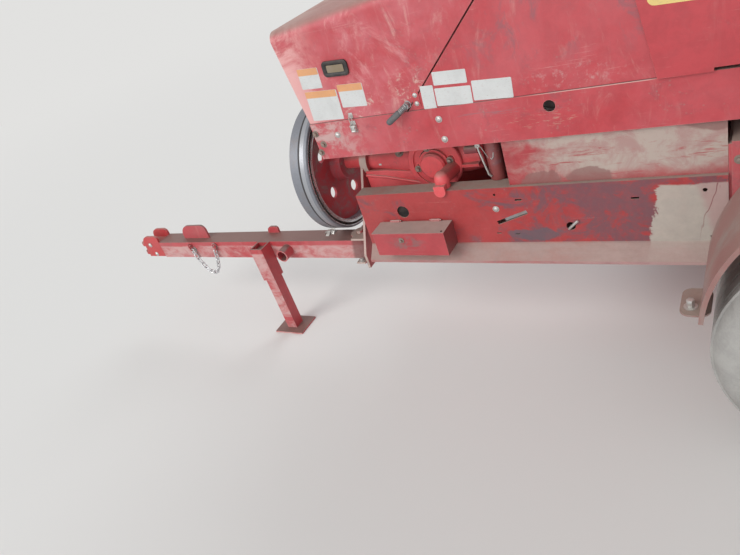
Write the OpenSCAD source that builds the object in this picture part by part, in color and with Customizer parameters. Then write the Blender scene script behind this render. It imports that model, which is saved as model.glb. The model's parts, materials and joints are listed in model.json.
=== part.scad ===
// Small square baler, parked on its wheels and its drawbar stand.
// +X runs to the machine's rear, +Y to its right and +Z up, and the floor is z = 0.
// Every sub-part is placed from the left wheel's axle (x), the bale case's
// centre line (y) and the floor (z); centred() then moves the whole machine to
// the middle of its own box.

/* [Bale case] */
// Inside width of the bale chamber
bale_w = 457; // [420:1:480]
// Inside height of the bale chamber
bale_h = 356; // [340:1:380]
// Height of the chamber floor above the ground
chamber_z = 505; // [490:1:520]
// Thickness of the chamber walls
wall = 6; // [4:0.5:8]
// Rear end of the bale case behind the left axle
case_rear_x = 1850; // [1700:10:2000]
// Half of the width over the side beams and channels
side_y = 250; // [247:1:256]

/* [Front frame] */
// Front end of the side beams ahead of the left axle
frame_front = 1750; // [1740:1:1770]
// Height of the flat web of a side beam
beam_h = 240; // [220:1:250]
// Height of the bottom of that web
beam_z = 530; // [525:1:535]
// Height of the upper side channel
channel_h = 155; // [140:1:160]
// Height of the bottom of the upper side channel
channel_z = 950; // [945:1:955]
// Sheet thickness of beams and channels
sheet = 5; // [4:0.5:6]

/* [Drive] */
// Height of the flywheel shaft and of the crankshaft
shaft_z = 815; // [805:1:820]
// Flywheel's rear face ahead of the side beams
flywheel_ahead = 170; // [165:1:200]
// Radius of the flywheel
flywheel_r = 302; // [280:1:305]
// Width of the flywheel's rim
flywheel_w = 92; // [70:1:100]
// Crankshaft ahead of the left axle
crank_ahead = 1428; // [1415:1:1440]
// Throw of the crank
crank_r = 381; // [360:1:381]
// Length of the connecting rod between its eyes
con_rod = 1100; // [1090:1:1110]
// Angle of the crank above level, pointing to the rear
crank_angle = 20; // [15:1:25]

/* [Wheels] */
// Radius of the left tyre
left_r = 400; // [392:1:405]
// Width of the left tyre
left_w = 320; // [280:1:330]
// Middle of the left tyre from the centre line
left_y = 545; // [540:1:560]
// Radius of the right tyre
right_r = 340; // [335:1:345]
// Width of the right tyre
right_w = 215; // [190:1:220]
// Middle of the right tyre from the centre line
right_y = 2055; // [2050:1:2070]
// Right axle behind the left axle
right_x = 190; // [180:1:200]

/* [Tongue] */
// Length of the tongue from its pivot to the hitch pin
tongue_l = 1510; // [1400:10:1600]
// Side of the tongue's square beam
tongue_s = 98; // [90:1:100]
// Height of the tongue's top
tongue_top = 515; // [512:1:516]
// Radius of the hitch pin's hole
hitch_hole_r = 14; // [12:0.5:16]
// Stand ahead of the tongue's pivot
stand_ahead = 564; // [540:2:620]

/* [Pickup] */
// Width between the pickup's side sheets
pickup_w = 1780; // [1700:10:1800]
// Inner side sheet from the centre line
pickup_y = 350; // [345:1:360]
// Radius of the tine tips
tine_r = 255; // [245:1:256]
// Radius of the stripper bands
band_r = 178; // [170:1:185]
// Reel shaft ahead of the left axle
reel_ahead = 480; // [475:1:490]
// Height of the reel shaft
reel_z = 380; // [375:1:390]
// Stripper bands across the pickup
band_count = 23; // [18:1:25]

/* [Hood] */
// Height of the roof at the front edge
hood_front_z = 1478; // [1460:1:1490]
// Rise of the roof to the rear in degrees
roof_rise = 5; // [4:0.5:6]
// Radius of the roof's long edges
hood_edge_r = 42; // [20:1:50]

/* [Hidden] */
$fn = 48;

red = [0.70, 0.17, 0.18];
bright_red = [0.78, 0.13, 0.12];
dusty = [0.72, 0.62, 0.55];
steel = [0.62, 0.63, 0.64];
rubber = [0.23, 0.22, 0.21];
black = [0.12, 0.12, 0.12];

// Running gap between a moving piece and what it passes, and the gap of a seat
run = 6;
seat = 0.3;

half_w = bale_w / 2;
chamber_top = chamber_z + bale_h;
front_x = -frame_front;
beam_top = beam_z + beam_h;
channel_top = channel_z + channel_h;
crank_x = -crank_ahead;
reel_x = -reel_ahead;

// Stations along the machine
beam_rear_x = -370;
panel_x = -1075;
flywheel_x = front_x - flywheel_ahead;
gusset_x = front_x - 60;
gusset_t = 12;
feed_x0 = -150;
feed_x1 = 380;
needle_x = 820;
needle_y = 115;     // each needle from the centre line
open_case_x = 1000;
pivot_x = gusset_x - 55;
pivot_y = -155;
star_x = 1300;
star_z = chamber_top + 90;
star_pin_r = 12;
chute_x = case_rear_x + 15;
chute_z = chamber_z - 22;
chute_bar_r = 12;
hitch_x = pivot_x - tongue_l;

chute_l = 760;
flare_t = 4;
jaw_r = 40;
fender_out = 15;

// Box of the whole machine, from the sizes above
box_x0 = hitch_x - jaw_r;
box_x1 = case_rear_x + chute_l - 3;
box_y0 = -left_y - left_w / 2 - fender_out;
box_y1 = pickup_y + pickup_w + 91;
mid_x = (box_x0 + box_x1) / 2;
mid_y = (box_y0 + box_y1) / 2;

module centred() { translate([-mid_x, -mid_y, 0]) children(); }

// Shapes used by several sub-parts

// Outline in X and Z, given a thickness along +Y from y0
module sheet_xz(y0, t) { translate([0, y0 + t, 0]) rotate([90, 0, 0]) linear_extrude(t) children(); }

// Outline in Y and Z, given a thickness along +X from x0
module sheet_yz(x0, t) { translate([x0, 0, 0]) rotate([90, 0, 90]) linear_extrude(t) children(); }

module rod(p, q, r) {
    d = q - p;
    l = norm(d);
    translate(p) rotate([0, acos(d[2] / l), atan2(d[1], d[0])]) cylinder(r = r, h = l);
}

module along_x(p, r, l) { translate(p) rotate([0, 90, 0]) cylinder(r = r, h = l); }
module along_y(p, r, l) { translate(p) rotate([-90, 0, 0]) cylinder(r = r, h = l); }
module turned_y(p) { translate(p) rotate([-90, 0, 0]) rotate_extrude($fn = 96) children(); }
module turned_x(p) { translate(p) rotate([0, 90, 0]) rotate_extrude($fn = 96) children(); }
module block(p, q) { translate(p) cube(q - p); }
module both_sides() { children(); mirror([0, 1, 0]) children(); }

// What a round corner of radius r takes off at c, where s holds the signs that point inwards
module corner_waste(c, s, r) {
    difference() {
        translate(c + s * (r - 1) / 2) square(r + 1, center = true);
        translate(c + s * r) circle(r);
    }
}
// Rectangle from p to q with round corners
module round_rect(p, q, r) {
    difference() {
        translate(p) square(q - p);
        corner_waste(p, [1, 1], r);
        corner_waste(q, [-1, -1], r);
        corner_waste([p[0], q[1]], [1, -1], r);
        corner_waste([q[0], p[1]], [-1, 1], r);
    }
}
// Upright box from p to q whose vertical edges are round
module round_box(p, q, r) {
    translate([0, 0, p[2]]) linear_extrude(q[2] - p[2]) round_rect([p[0], p[1]], [q[0], q[1]], r);
}

// Side beam: inward top ledge, flat web and a foot flange that leans outward
flange_out = 50;
flange_z = 475;
ledge_w = 70;
module beam_profile() {
    polygon([
        [-side_y + ledge_w, beam_top], [-side_y, beam_top], [-side_y, beam_z],
        [-side_y - flange_out, flange_z], [-side_y - flange_out, flange_z - 12],
        [-side_y - flange_out + sheet, flange_z - 12], [-side_y - flange_out + sheet, flange_z - 2],
        [-side_y + sheet, beam_z - 3], [-side_y + sheet, beam_top - sheet],
        [-side_y + ledge_w, beam_top - sheet]
    ]);
}
module beam() { sheet_yz(front_x, beam_rear_x - front_x) beam_profile(); }

// Holes of the left web: x, z, radius
web_holes = [
    [-1546, 683, 27], [-1142, 680, 7], [-872, 597, 17], [-1137, 741, 5], [-435, 721, 7]
];
// Slots of the left web: x and z of the front end, length, height, rise to the rear in degrees
web_slots = [
    [-1147, 618, 130, 16, 20], [-1062, 715, 26, 8, 0], [-658, 702, 26, 8, 0],
    [-1160, 572, 18, 5, 0], [-1086, 566, 18, 5, 0], [-424, 546, 26, 6, 0]
];
module side_beams() centred() color(red) {
    difference() {
        beam();
        for (h = web_holes) along_y([h[0], -side_y - 1, h[1]], h[2], sheet + 2);
        for (h = web_slots) translate([h[0], 0, h[1]]) rotate([0, -h[4], 0])
            block([0, -side_y - 1, -h[3] / 2], [h[2], -side_y + sheet + 1, h[3] / 2]);
    }
    // Flange that ends the left beam at the case
    block([beam_rear_x - sheet, -side_y + sheet, beam_z],
        [beam_rear_x, -half_w - wall - seat, beam_top - sheet]);
    mirror([0, 1, 0]) beam();
}

// Bale case: closed chamber at the front, four corner angles behind
rings = [-340, 560, 960, 1400, 1810]; // x of each stiffening frame
ring_w = 40;
module chamber_ring(x) {
    sheet_yz(x - ring_w / 2, ring_w) difference() {
        translate([-half_w - wall - 14, chamber_z - wall - 14]) square([bale_w + 2 * wall + 28, bale_h
            + 2 * wall + 28]);
        translate([-half_w - wall, chamber_z - wall]) square([bale_w + 2 * wall, bale_h + 2 * wall]);
    }
}
angle_w = 60;
// Floor between the side beams, ahead of the closed chamber
module case_floor() centred() color(red)
    block([front_x, -side_y + sheet + seat, chamber_z - wall],
        [beam_rear_x, side_y - sheet - seat, chamber_z]);

module chamber_tube() {
    difference() {
        translate([-half_w - wall, chamber_z - wall]) square([bale_w + 2 * wall, bale_h + 2 * wall]);
        translate([-half_w, chamber_z]) square([bale_w, bale_h]);
    }
}
module bale_case() centred() color(red) difference() {
    union() {
        sheet_yz(beam_rear_x + seat, open_case_x - beam_rear_x - seat) chamber_tube();
        for (k = [0 : 2]) chamber_ring(rings[k]);
    }
    // Feed opening in the right wall
    block([feed_x0, half_w - 1, chamber_z + 10], [feed_x1, side_y + 20, chamber_top + 1]);
    // Slots for the two needles in floor and roof
    for (s = [-1, 1]) block([needle_x - 75, s * needle_y - 22, chamber_z - 30], [needle_x
        + 75, s * needle_y + 22, chamber_top + 30]);
}
module rear_case() centred() color(red) {
    sheet_yz(open_case_x, case_rear_x - open_case_x) difference() {
        chamber_tube();
        translate([-half_w - wall - 1, chamber_z + angle_w]) square([bale_w + 2 * wall
            + 2, bale_h - 2 * angle_w]);
        translate([-half_w + angle_w, chamber_top - 1]) square([bale_w - 2 * angle_w, wall + 2]);
    }
    for (k = [3, 4]) chamber_ring(rings[k]);
    // Ears of the star wheel on the ring behind it
    for (s = [-1, 1]) difference() {
        sheet_xz(s * 20 - 3, 6) polygon([
            [rings[3] - 20, chamber_top + wall], [rings[3] + 20, chamber_top + wall],
            [star_x + 18, star_z + 24], [star_x - 22, star_z]
        ]);
        along_y([star_x, -40, star_z], star_pin_r + 0.06, 80);
    }
    // Ears of the bale chute's hinge
    for (s = [-1, 1]) difference() {
        block([case_rear_x - 40, s * 195 - 4, chamber_z - wall - 34], [case_rear_x + 33, s * 195
            + 4, chamber_z - wall + 2]);
        along_y([chute_x, -220, chute_z], chute_bar_r + 0.06, 440);
    }
}

// Upper channels along both sides, with their bolts' holes
channel_front_x = front_x - 98;
channel_rear_x = 150;
channel_flange = 45;
module channel_side() {
    difference() {
        union() {
            sheet_xz(-side_y, sheet) polygon([
                [channel_front_x, channel_top], [channel_front_x + 5, channel_z],
                [channel_rear_x, channel_z], [channel_rear_x, channel_top]
            ]);
            block([channel_front_x + 5, -side_y, channel_z], [channel_rear_x, -side_y
                + channel_flange, channel_z + sheet]);
            block([channel_front_x + 5, -side_y, channel_top - sheet], [channel_rear_x, -side_y
                + channel_flange, channel_top]);
        }
        along_y([-879, -side_y - 1, 1061], 20, sheet + 2);
    }
}
module side_channels() centred() color(red) {
    both_sides() channel_side();
    // Cross member behind the hood's front and posts down to the beams
    block([channel_front_x + 20, -side_y + sheet, channel_z + sheet], [channel_front_x
        + 60, side_y - sheet, channel_z + 45]);
}

// Panels between beam ledge and upper channel
module inner_panels() centred() color(dusty) both_sides() {
    block([panel_x, -half_w - wall, beam_top + seat], [beam_rear_x - seat, -half_w - wall
        + 4, channel_z - seat]);
}

// Front gusset: an A-shaped plate across the front with the shaft bearing on top
ear_t = 10;
foot_z = tongue_top - tongue_s - run - ear_t;
input_r = 30;
pivot_pin_r = 15.94;
gusset_over = 8;    // past the side beams
foot_w = 88;        // width and height of a foot of the plate
foot_h = 70;
arch_z = 545;       // underside of the plate between its feet
ear_w = 60;         // half width of the tongue's ears
bearing_l = 36;
module front_gusset() centred() color(red) {
    w = side_y + gusset_over;
    difference() {
        union() {
            sheet_yz(gusset_x, gusset_t) polygon([
                [-w, foot_z], [-w, foot_z + foot_h], [-62, shaft_z], [62, shaft_z],
                [w, foot_z + foot_h], [w, foot_z], [w - foot_w, foot_z], [w - foot_w, arch_z],
                [pivot_y + ear_w, arch_z], [pivot_y + ear_w, foot_z]
            ]);
            along_x([gusset_x, 0, shaft_z], 66, bearing_l);
        }
        along_x([gusset_x - 1, 0, shaft_z], input_r + seat, bearing_l + 2);
    }
    // Ears above and below the tongue's rear end, and the pivot pin through them
    for (z = [tongue_top + run, foot_z]) {
        block([pivot_x - 20, pivot_y - ear_w, z], [gusset_x, pivot_y + ear_w, z + ear_t]);
        translate([pivot_x, pivot_y, z]) cylinder(r = 45, h = ear_t);
    }
    translate([pivot_x, pivot_y, foot_z - 12]) cylinder(r = pivot_pin_r, h = tongue_s + 2 * run
        + 2 * ear_t + 24);
    // Foot pad outside the left beam
    block([gusset_x - 45, -side_y - 20, foot_z + 30], [gusset_x + 1, -side_y + 12, foot_z + 38]);
}
// Gearbox: round body with a capped bearing, a nose to the flywheel and a shorter rear end
body_r = 104;
cap_r = 56;
lobe_at = 76;       // cap bolts from the crankshaft
nose_x = gusset_x + bearing_l + seat;
module gearbox() centred() color(bright_red) {
    turned_y([crank_x, 0, shaft_z]) polygon([
        [0, -126], [cap_r - 8, -126], [cap_r, -118], [cap_r, -104], [66, -104], [66, -92], [95, -92],
        [95, -100], [116, -100], [120, -96], [120, -84], [body_r, -78], [body_r, 85], [0, 85]
    ]);
    for (a = [10 : 90 : 280]) along_y([crank_x + lobe_at * cos(a), -104, shaft_z + lobe_at * sin(a)],
        16, 14);
    turned_x([nose_x, 0, shaft_z]) polygon([
        [0, 0], [44, 0], [50, 60], [66, 160], [84, 280], [84, crank_x - nose_x], [0, crank_x - nose_x]
    ]);
    turned_x([crank_x, 0, shaft_z]) polygon([[0, 0], [82, 0], [82, 120], [72, 186], [56, 200], [0, 200]]);
    // Flange between the halves of the rear end
    block([crank_x + 60, -98, shaft_z - 26], [crank_x + 190, 60, shaft_z - 14]);
    // Left foot: a stem down to the ledge and a lug outside the web
    foot_x = crank_x + 78;
    rod([foot_x, -70, shaft_z - 30], [foot_x, -side_y + 34, beam_top + 36], 30);
    translate([foot_x, -side_y + 34, beam_top + seat]) cylinder(r = 29, h = 40);
    block([foot_x - 23, -side_y - 12, beam_top + 2], [foot_x + 23, -side_y + 34, beam_top + 24]);
    along_y([foot_x, -side_y - 12, beam_top + 2], 24, 12 - seat);
    // Right foot: a bar on the other ledge
    block([crank_x + 70, 40, beam_top + seat], [crank_x + 110, side_y - 6, beam_top + 12]);
    // Input shaft up to the flywheel's hub
    along_x([flywheel_x + 8 + seat, 0, shaft_z], input_r, 200);
}
// Crank arm and connecting rod, at the right of the gearbox
pin_x = crank_x + crank_r * cos(crank_angle);
pin_z = shaft_z + crank_r * sin(crank_angle);
plunger_pin_z = chamber_z + bale_h / 2;
plunger_pin_x = pin_x + sqrt(con_rod * con_rod - pow(pin_z - plunger_pin_z, 2));
crank_y = 115;
con_y = crank_y + 36;
con_t = 30;
// Side view of the connecting rod, g inside its edge
module con_outline(g) hull() {
    translate([pin_x, pin_z]) circle(34 - g, $fn = 24);
    translate([plunger_pin_x, plunger_pin_z]) circle(27 - g, $fn = 24);
}
module plunger_drive() centred() color(steel) {
    along_y([crank_x, 85 + seat, shaft_z], 62, 45);
    // Crank arm, its pin and the connecting rod with a hollowed web
    sheet_xz(crank_y - 15, 30) hull() {
        translate([crank_x, shaft_z]) circle(52, $fn = 32);
        translate([pin_x, pin_z]) circle(44, $fn = 32);
    }
    along_y([pin_x, crank_y - 25, pin_z], 34, 95);
    difference() {
        sheet_xz(con_y - con_t / 2, con_t) con_outline(0);
        for (y = [con_y - con_t / 2 - 1, con_y + con_t / 2 - 6]) sheet_xz(y, 7) con_outline(9);
    }
    along_y([pin_x, con_y - 24, pin_z], 48, 48);
    along_y([plunger_pin_x, con_y - 26, plunger_pin_z], 42, 52);
    along_y([plunger_pin_x, con_y - 26, plunger_pin_z], 20, half_w - 30 - con_y + 26 - seat);
}
// Plunger: box head with a face slotted for the needles
plunger_gap = 4;
plunger_side = 30;
module plunger() centred() color(red) {
    x0 = plunger_pin_x - 60;
    x1 = plunger_pin_x + 640;
    difference() {
        block([x0, -half_w + plunger_gap, chamber_z + plunger_gap],
            [x1, half_w - plunger_gap, chamber_top - plunger_gap]);
        block([x0 - 1, -half_w + plunger_side, chamber_z + plunger_side],
            [x1 - 30, half_w - plunger_side, chamber_top - plunger_side]);
        // Open floor and top between the side walls
        block([x0 - 1, -half_w + 70, chamber_z - 1], [x1 - 60, half_w - 70, chamber_top + 1]);
        // Slots in the face for the needles
        for (s = [-1, 1]) block([x1 - 25, s * needle_y - 22, chamber_z - 1], [x1 + 1, s * needle_y
            + 22, chamber_top + 1]);
    }
}

// Hood and shields

roof_x = channel_front_x - 45;
function roof_z(x) = hood_front_z + (x - roof_x) * tan(roof_rise);
seam_x = -1400;       // foot of the slanted seam between hood and side shields
seam_run = 1.02;      // run of that seam for each unit of height
function seam_at(z) = seam_x + (z - channel_top) * seam_run;
rear_seam_x = -550;
function rear_seam_at(z) = rear_seam_x - (z - channel_top) * 0.176;
hood_t = 3;
seam_gap = 8;
shield_rear_x = channel_rear_x;
// Cross-section of hood and shields: flat sides and a roof with round edges
module hood_section(y, inset) {
    r = max(hood_edge_r - inset, 2);
    difference() {
        translate([-y + inset, -900]) square([2 * (y - inset), 900 - inset]);
        for (s = [-1, 1]) difference() {
            translate([s * (y - inset - r / 2) - r / 2, -inset - r]) square([r, r]);
            translate([s * (y - inset - r), -inset - r]) circle(r);
        }
    }
}
module roof_run(y, inset) {
    translate([roof_x - 100, 0, roof_z(roof_x - 100)]) rotate([0, -roof_rise, 0])
        sheet_yz(0, shield_rear_x - roof_x + 300) hood_section(y, inset);
}
module hood_shell(y, t) {
    difference() {
        intersection() {
            roof_run(y, 0);
            sheet_xz(-y - 1, 2 * y + 2) children(0);
        }
        intersection() {
            roof_run(y, t);
            sheet_xz(-y - 1, 2 * y + 2) children(1);
        }
    }
}
hood_top = roof_z(shield_rear_x) + 40;
hood_foot = channel_top + seat;
module hood_outline(g) {
    polygon([
        [channel_front_x + 3 + g, hood_foot - (g > 0 ? 50 : 0)], [roof_x + g, hood_front_z], [roof_x
            + 3 + g, hood_top],
        [seam_at(hood_top) + (g > 0 ? 50 : 0), hood_top], [seam_at(hood_foot) + (g > 0 ? 50 : 0),
            hood_foot - (g > 0 ? 50 : 0)]
    ]);
}
// Hinges between hood and shields: round knuckles above the top of the slanted seam
hinge_x = (seam_x + seam_gap / 2 + (hood_front_z - roof_x * tan(roof_rise) - channel_top) * seam_run)
    / (1 - seam_run * tan(roof_rise));
knuckle_r = 9;
hinge_pin_r = 5.94;
hinge_bore_r = 6;
hinge_y = 150;
hinge_z = roof_z(hinge_x) + knuckle_r + 1;
module on_roof(x) translate([x, 0, roof_z(x)]) rotate([0, -roof_rise, 0]) children();
module front_hood() centred() color(red) {
    hood_shell(side_y - 2, hood_t) { hood_outline(0); hood_outline(hood_t); }
    // Hinge leaves, outer knuckles and pins
    for (s = [-1, 1]) {
        on_roof(hinge_x) block([-70, s * hinge_y - 40, -1], [-knuckle_r - 3, s * hinge_y + 40, 3]);
        for (k = [-40, 13]) {
            on_roof(hinge_x) block([-knuckle_r - 4, s * hinge_y + k, -1], [0, s * hinge_y + k + 27, 3]);
            along_y([hinge_x, s * hinge_y + k, hinge_z], knuckle_r, 27);
        }
        along_y([hinge_x, s * hinge_y - 40, hinge_z], hinge_pin_r, 80);
    }
}
lever_z = 1132;
lever_x = seam_at(lever_z) - 14;
module hood_lever() centred() color(steel) {
    // Spring bolt with a rubber grip that holds the hood down
    rod([lever_x, -side_y - 14, lever_z], [lever_x - 76, -side_y - 37, lever_z - 44], 7);
    along_y([lever_x, -side_y - 20, lever_z], 12, 21.7);
}
// Counter: round-cornered case on the hood's left side
counter = [-1639, 1308];
counter_size = [112, 60];
module bale_counter() centred() color(black)
    sheet_xz(-side_y - 8, 9.7) round_rect(counter - counter_size / 2, counter + counter_size / 2, 14);

module side_outline(g) {
    a = g > 0 ? 40 : 0;
    polygon([
        [seam_at(hood_foot) + seam_gap - a, hood_foot - a], [seam_at(hood_top) + seam_gap - a, hood_top],
        [rear_seam_at(hood_top) + a, hood_top], [rear_seam_at(hood_foot) + a, hood_foot - a]
    ]);
}
module side_shields() centred() color(red) {
    hood_shell(side_y - 2, hood_t) { side_outline(0); side_outline(1); }
    // Hinge leaves and inner knuckles
    for (s = [-1, 1]) difference() {
        union() {
            on_roof(hinge_x) block([0, s * hinge_y - 12, -1], [70, s * hinge_y + 12, 3]);
            along_y([hinge_x, s * hinge_y - 12, hinge_z], knuckle_r, 24);
        }
        along_y([hinge_x, s * hinge_y - 13, hinge_z], hinge_bore_r, 26);
    }
}

module rear_outline(g) {
    a = g > 0 ? 40 : 0;
    polygon([
        [rear_seam_at(hood_foot) + 1, hood_foot - a], [rear_seam_at(hood_top) + 1 - a, hood_top],
        [shield_rear_x - 140, hood_top], [shield_rear_x - g, 1250], [shield_rear_x - g, hood_foot - a]
    ]);
}
module rear_shields() centred() color(red) {
    difference() {
        hood_shell(side_y + 10, hood_t) { rear_outline(0); rear_outline(hood_t); }
        // Hand hole at the foot of each side
        block([-400, -side_y - 20, hood_foot - 1], [-330, side_y + 20, hood_foot + 12]);
    }
    // Feet turned in over the channels
    both_sides() for (x = [[rear_seam_x + 10, -410], [-320, shield_rear_x - 10]])
        block([x[0], -side_y - 8, hood_foot], [x[1], -side_y + 8, hood_foot + hood_t]);
}
// Feeder housing: pan, round-cornered roof and rear sheet, right wall
pan_x0 = -220;
pan_y1 = 1850;
pan_roof_z = 1120;
roof_lip = 60;      // height of the roof's turned-down front edge
feed_t = 5;
feed_y0 = side_y + 22;
rail_x = [100, 160];
rail_z = [980, 1020];
module feeder_section(g) {
    round_rect([pan_x0 + roof_lip + g, chamber_z - 100], [feed_x1 + feed_t - g, pan_roof_z - g], 80 - g);
}
module feeder_housing() centred() color(red) {
    block([pan_x0, half_w + wall + seat, chamber_z - wall], [feed_x1 + feed_t, pan_y1, chamber_z]);
    difference() {
        sheet_xz(feed_y0, pan_y1 - feed_y0) feeder_section(0);
        sheet_xz(feed_y0 - 1, pan_y1 - feed_y0 + 1 - feed_t) feeder_section(feed_t);
        block([pan_x0, feed_y0 - 1, 0], [feed_x1 + 50, pan_y1 + 1, chamber_z - 1]);
        // Open front under the lip
        block([pan_x0, feed_y0 - 1, chamber_z], [pan_x0 + 150, pan_y1 - feed_t, pan_roof_z - 80]);
    }
    // Arm and ears that carry the pickup's pivot tube
    block([pan_x0, pan_y1 - 1, chamber_z - 30], [pan_x0 + 24, pickup_y1 + 10, chamber_z]);
    for (y = [pickup_y - 8 - seat, pickup_y1 + seat]) block([lift_x - 16, y, lift_z - 16], [pan_x0
        + 24, y + 8, lift_z + 8]);
    // Rail that the feeder runs on
    block([rail_x[0], feed_y0, rail_z[0]], [rail_x[1], pan_y1 - 1, rail_z[1]]);
}
// Feeder: carriage on the rail with two hanging packer fingers
feeder_y = 700;
carriage_l = 400;
carriage_h = 26;
finger_y = 160;
module feeder_tines() centred() color(steel) {
    z1 = rail_z[1] + carriage_h;
    block([rail_x[0] - 30, feeder_y - carriage_l / 2, rail_z[1] + seat], [rail_x[1] + 30, feeder_y
        + carriage_l / 2, z1]);
    x = rail_x[0] - 23;
    for (y = [feeder_y - finger_y, feeder_y + finger_y]) {
        block([x - 7, y - 10, rail_z[0] - 80], [x + 7, y + 10, z1]);
        rod([x, y, rail_z[0] - 75], [x, y - 60, 700], 9);
        rod([x, y - 58, 710], [x, y - 120, 560], 8);
    }
}

// Wheels

// Tyre outline in radius and height, with round shoulders and ribs on the tread
module tyre_outline(r, w, rim_r) {
    s = w * 0.24;
    difference() {
        union() {
            translate([rim_r, -w * 0.36]) square([r - rim_r, w * 0.72]);
            translate([rim_r, -w / 2 + s]) square([r - rim_r - s, w - 2 * s]);
            for (k = [-1, 1]) translate([r - s, k * (w / 2 - s)]) circle(s);
            for (k = [-1, 1]) translate([rim_r + s, k * (w / 2 - s)]) circle(s);
            translate([rim_r, -w * 0.36]) square([s, w * 0.72]);
            translate([rim_r + s, -w / 2]) square([r - rim_r - 2 * s, w]);
        }
        for (k = [-1.5, -0.5, 0.5, 1.5]) translate([r - 10, k * w * 0.17 - 4]) square([20, 8]);
    }
}
module rim_outline(r, w, hub_r) {
    polygon([
        [r, -w / 2], [r, w / 2], [r - 14, w / 2], [r - 22, w * 0.3], [r - 40, w * 0.1], [r * 0.62, -4],
        [hub_r, -4], [hub_r, 26], [hub_bore, 26], [hub_bore, -40], [hub_r, -40], [hub_r, -12],
            [r * 0.62, -12],
        [r - 46, w * 0.05], [r - 30, -w * 0.3], [r - 14, -w / 2]
    ]);
}
rim_r = 195;
spindle_r = 24;
hub_bore = spindle_r + 0.06;
module wheel_rim(p, w, flip) {
    translate(p) rotate([flip * -90, 0, 0]) difference() {
        rotate_extrude($fn = 96) rim_outline(rim_r - seat, w * 0.76, 62);
        for (k = [0 : 4]) rotate([0, 0, k * 72]) translate([90, 0, -30]) cylinder(r = 9, h = 60);
    }
}
left_c = [0, -left_y, left_r];
right_c = [right_x, right_y, right_r];
module left_rim() centred() color(dusty) wheel_rim(left_c, left_w, -1);
module left_tyre() centred() color(rubber) turned_y(left_c) tyre_outline(left_r, left_w, rim_r);
module right_rim() centred() color(dusty) wheel_rim(right_c, right_w, 1);
module right_tyre() centred() color(rubber) turned_y(right_c) tyre_outline(right_r, right_w, rim_r);

// Left spindle and its bracket on the case
axle_w = 60;        // half of the bracket's length along the machine
tube_s = 45;        // half of the right axle tube's side
module left_axle() {
    along_y([0, -left_y - 20, left_r], spindle_r, left_y - side_y + 60);
    block([-axle_w, -side_y - 40, left_r - 40], [axle_w, -side_y + 14, chamber_z + 120]);
    block([-axle_w, -side_y - 40, left_r - 40], [axle_w, half_w, left_r + 30]);
    block([-axle_w, -half_w, left_r + 20], [axle_w, half_w, chamber_z - wall - seat]);
}
// Right axle: square tube under the feeder with its spindle
module right_axle() {
    tube_y1 = right_y - right_w / 2 - 60;
    block([right_x - tube_s, half_w + seat, right_r - tube_s], [right_x + tube_s, tube_y1, right_r
        + tube_s]);
    along_y([right_x, tube_y1, right_r], spindle_r, right_w / 2 + 80);
    for (y = [half_w + 40, pan_y1 - 60])
        block([right_x - tube_s, y, right_r + 40], [right_x + tube_s, y + 50, chamber_z - wall - seat]);
    block([axle_w + seat, -half_w, right_r - tube_s], [right_x + tube_s, half_w + 30, right_r + 30]);
}

module axles() centred() color(red) {
    left_axle();
    right_axle();
}

// Fender: wide arc ahead of and high over the left tyre, with a lip on its outer edge
fender_r = 500;
fender_c = [76, 512];
fender_low = 175;   // angles of the lower and upper ends
fender_high = 90;
fender_t = 3;
lip_h = 14;
fender_y0 = -left_y - left_w / 2 - fender_out;
fender_w = left_w + 20;
stay_x = [20, 70];
module fender() centred() color(red) {
    translate([fender_c[0], fender_y0 + fender_w, fender_c[1]]) rotate([90, 0, 0])
        rotate([0, 0, fender_high]) rotate_extrude(angle = fender_low - fender_high, $fn = 96) {
            translate([fender_r - fender_t, 0]) square([fender_t, fender_w]);
            translate([fender_r - lip_h, fender_w - fender_t - 1]) square([lip_h, fender_t + 1]);
        }
    // Stay: angle from the upper channel under the fender's top
    top = fender_c[1] + fender_r - fender_t;
    block([stay_x[0], fender_y0 + fender_w - 60, top - 6], [stay_x[1], -side_y - seat, top - 1]);
    block([stay_x[0], -side_y - 6, channel_z + 10], [stay_x[1], -side_y - seat, top - 1]);
    // Bracket at the lower end
    low = [fender_c[0] + fender_r * cos(fender_low), fender_c[1] + fender_r * sin(fender_low)];
    translate([0, 0, low[1] + 2]) linear_extrude(6) difference() {
        round_rect([low[0] - 52, fender_y0 + 30], [low[0] + 30, fender_y0 + 160], 28);
        translate([low[0] - 24, fender_y0 + 70]) circle(8);
    }
}

// Tongue, hitch, stand and chain

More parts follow.
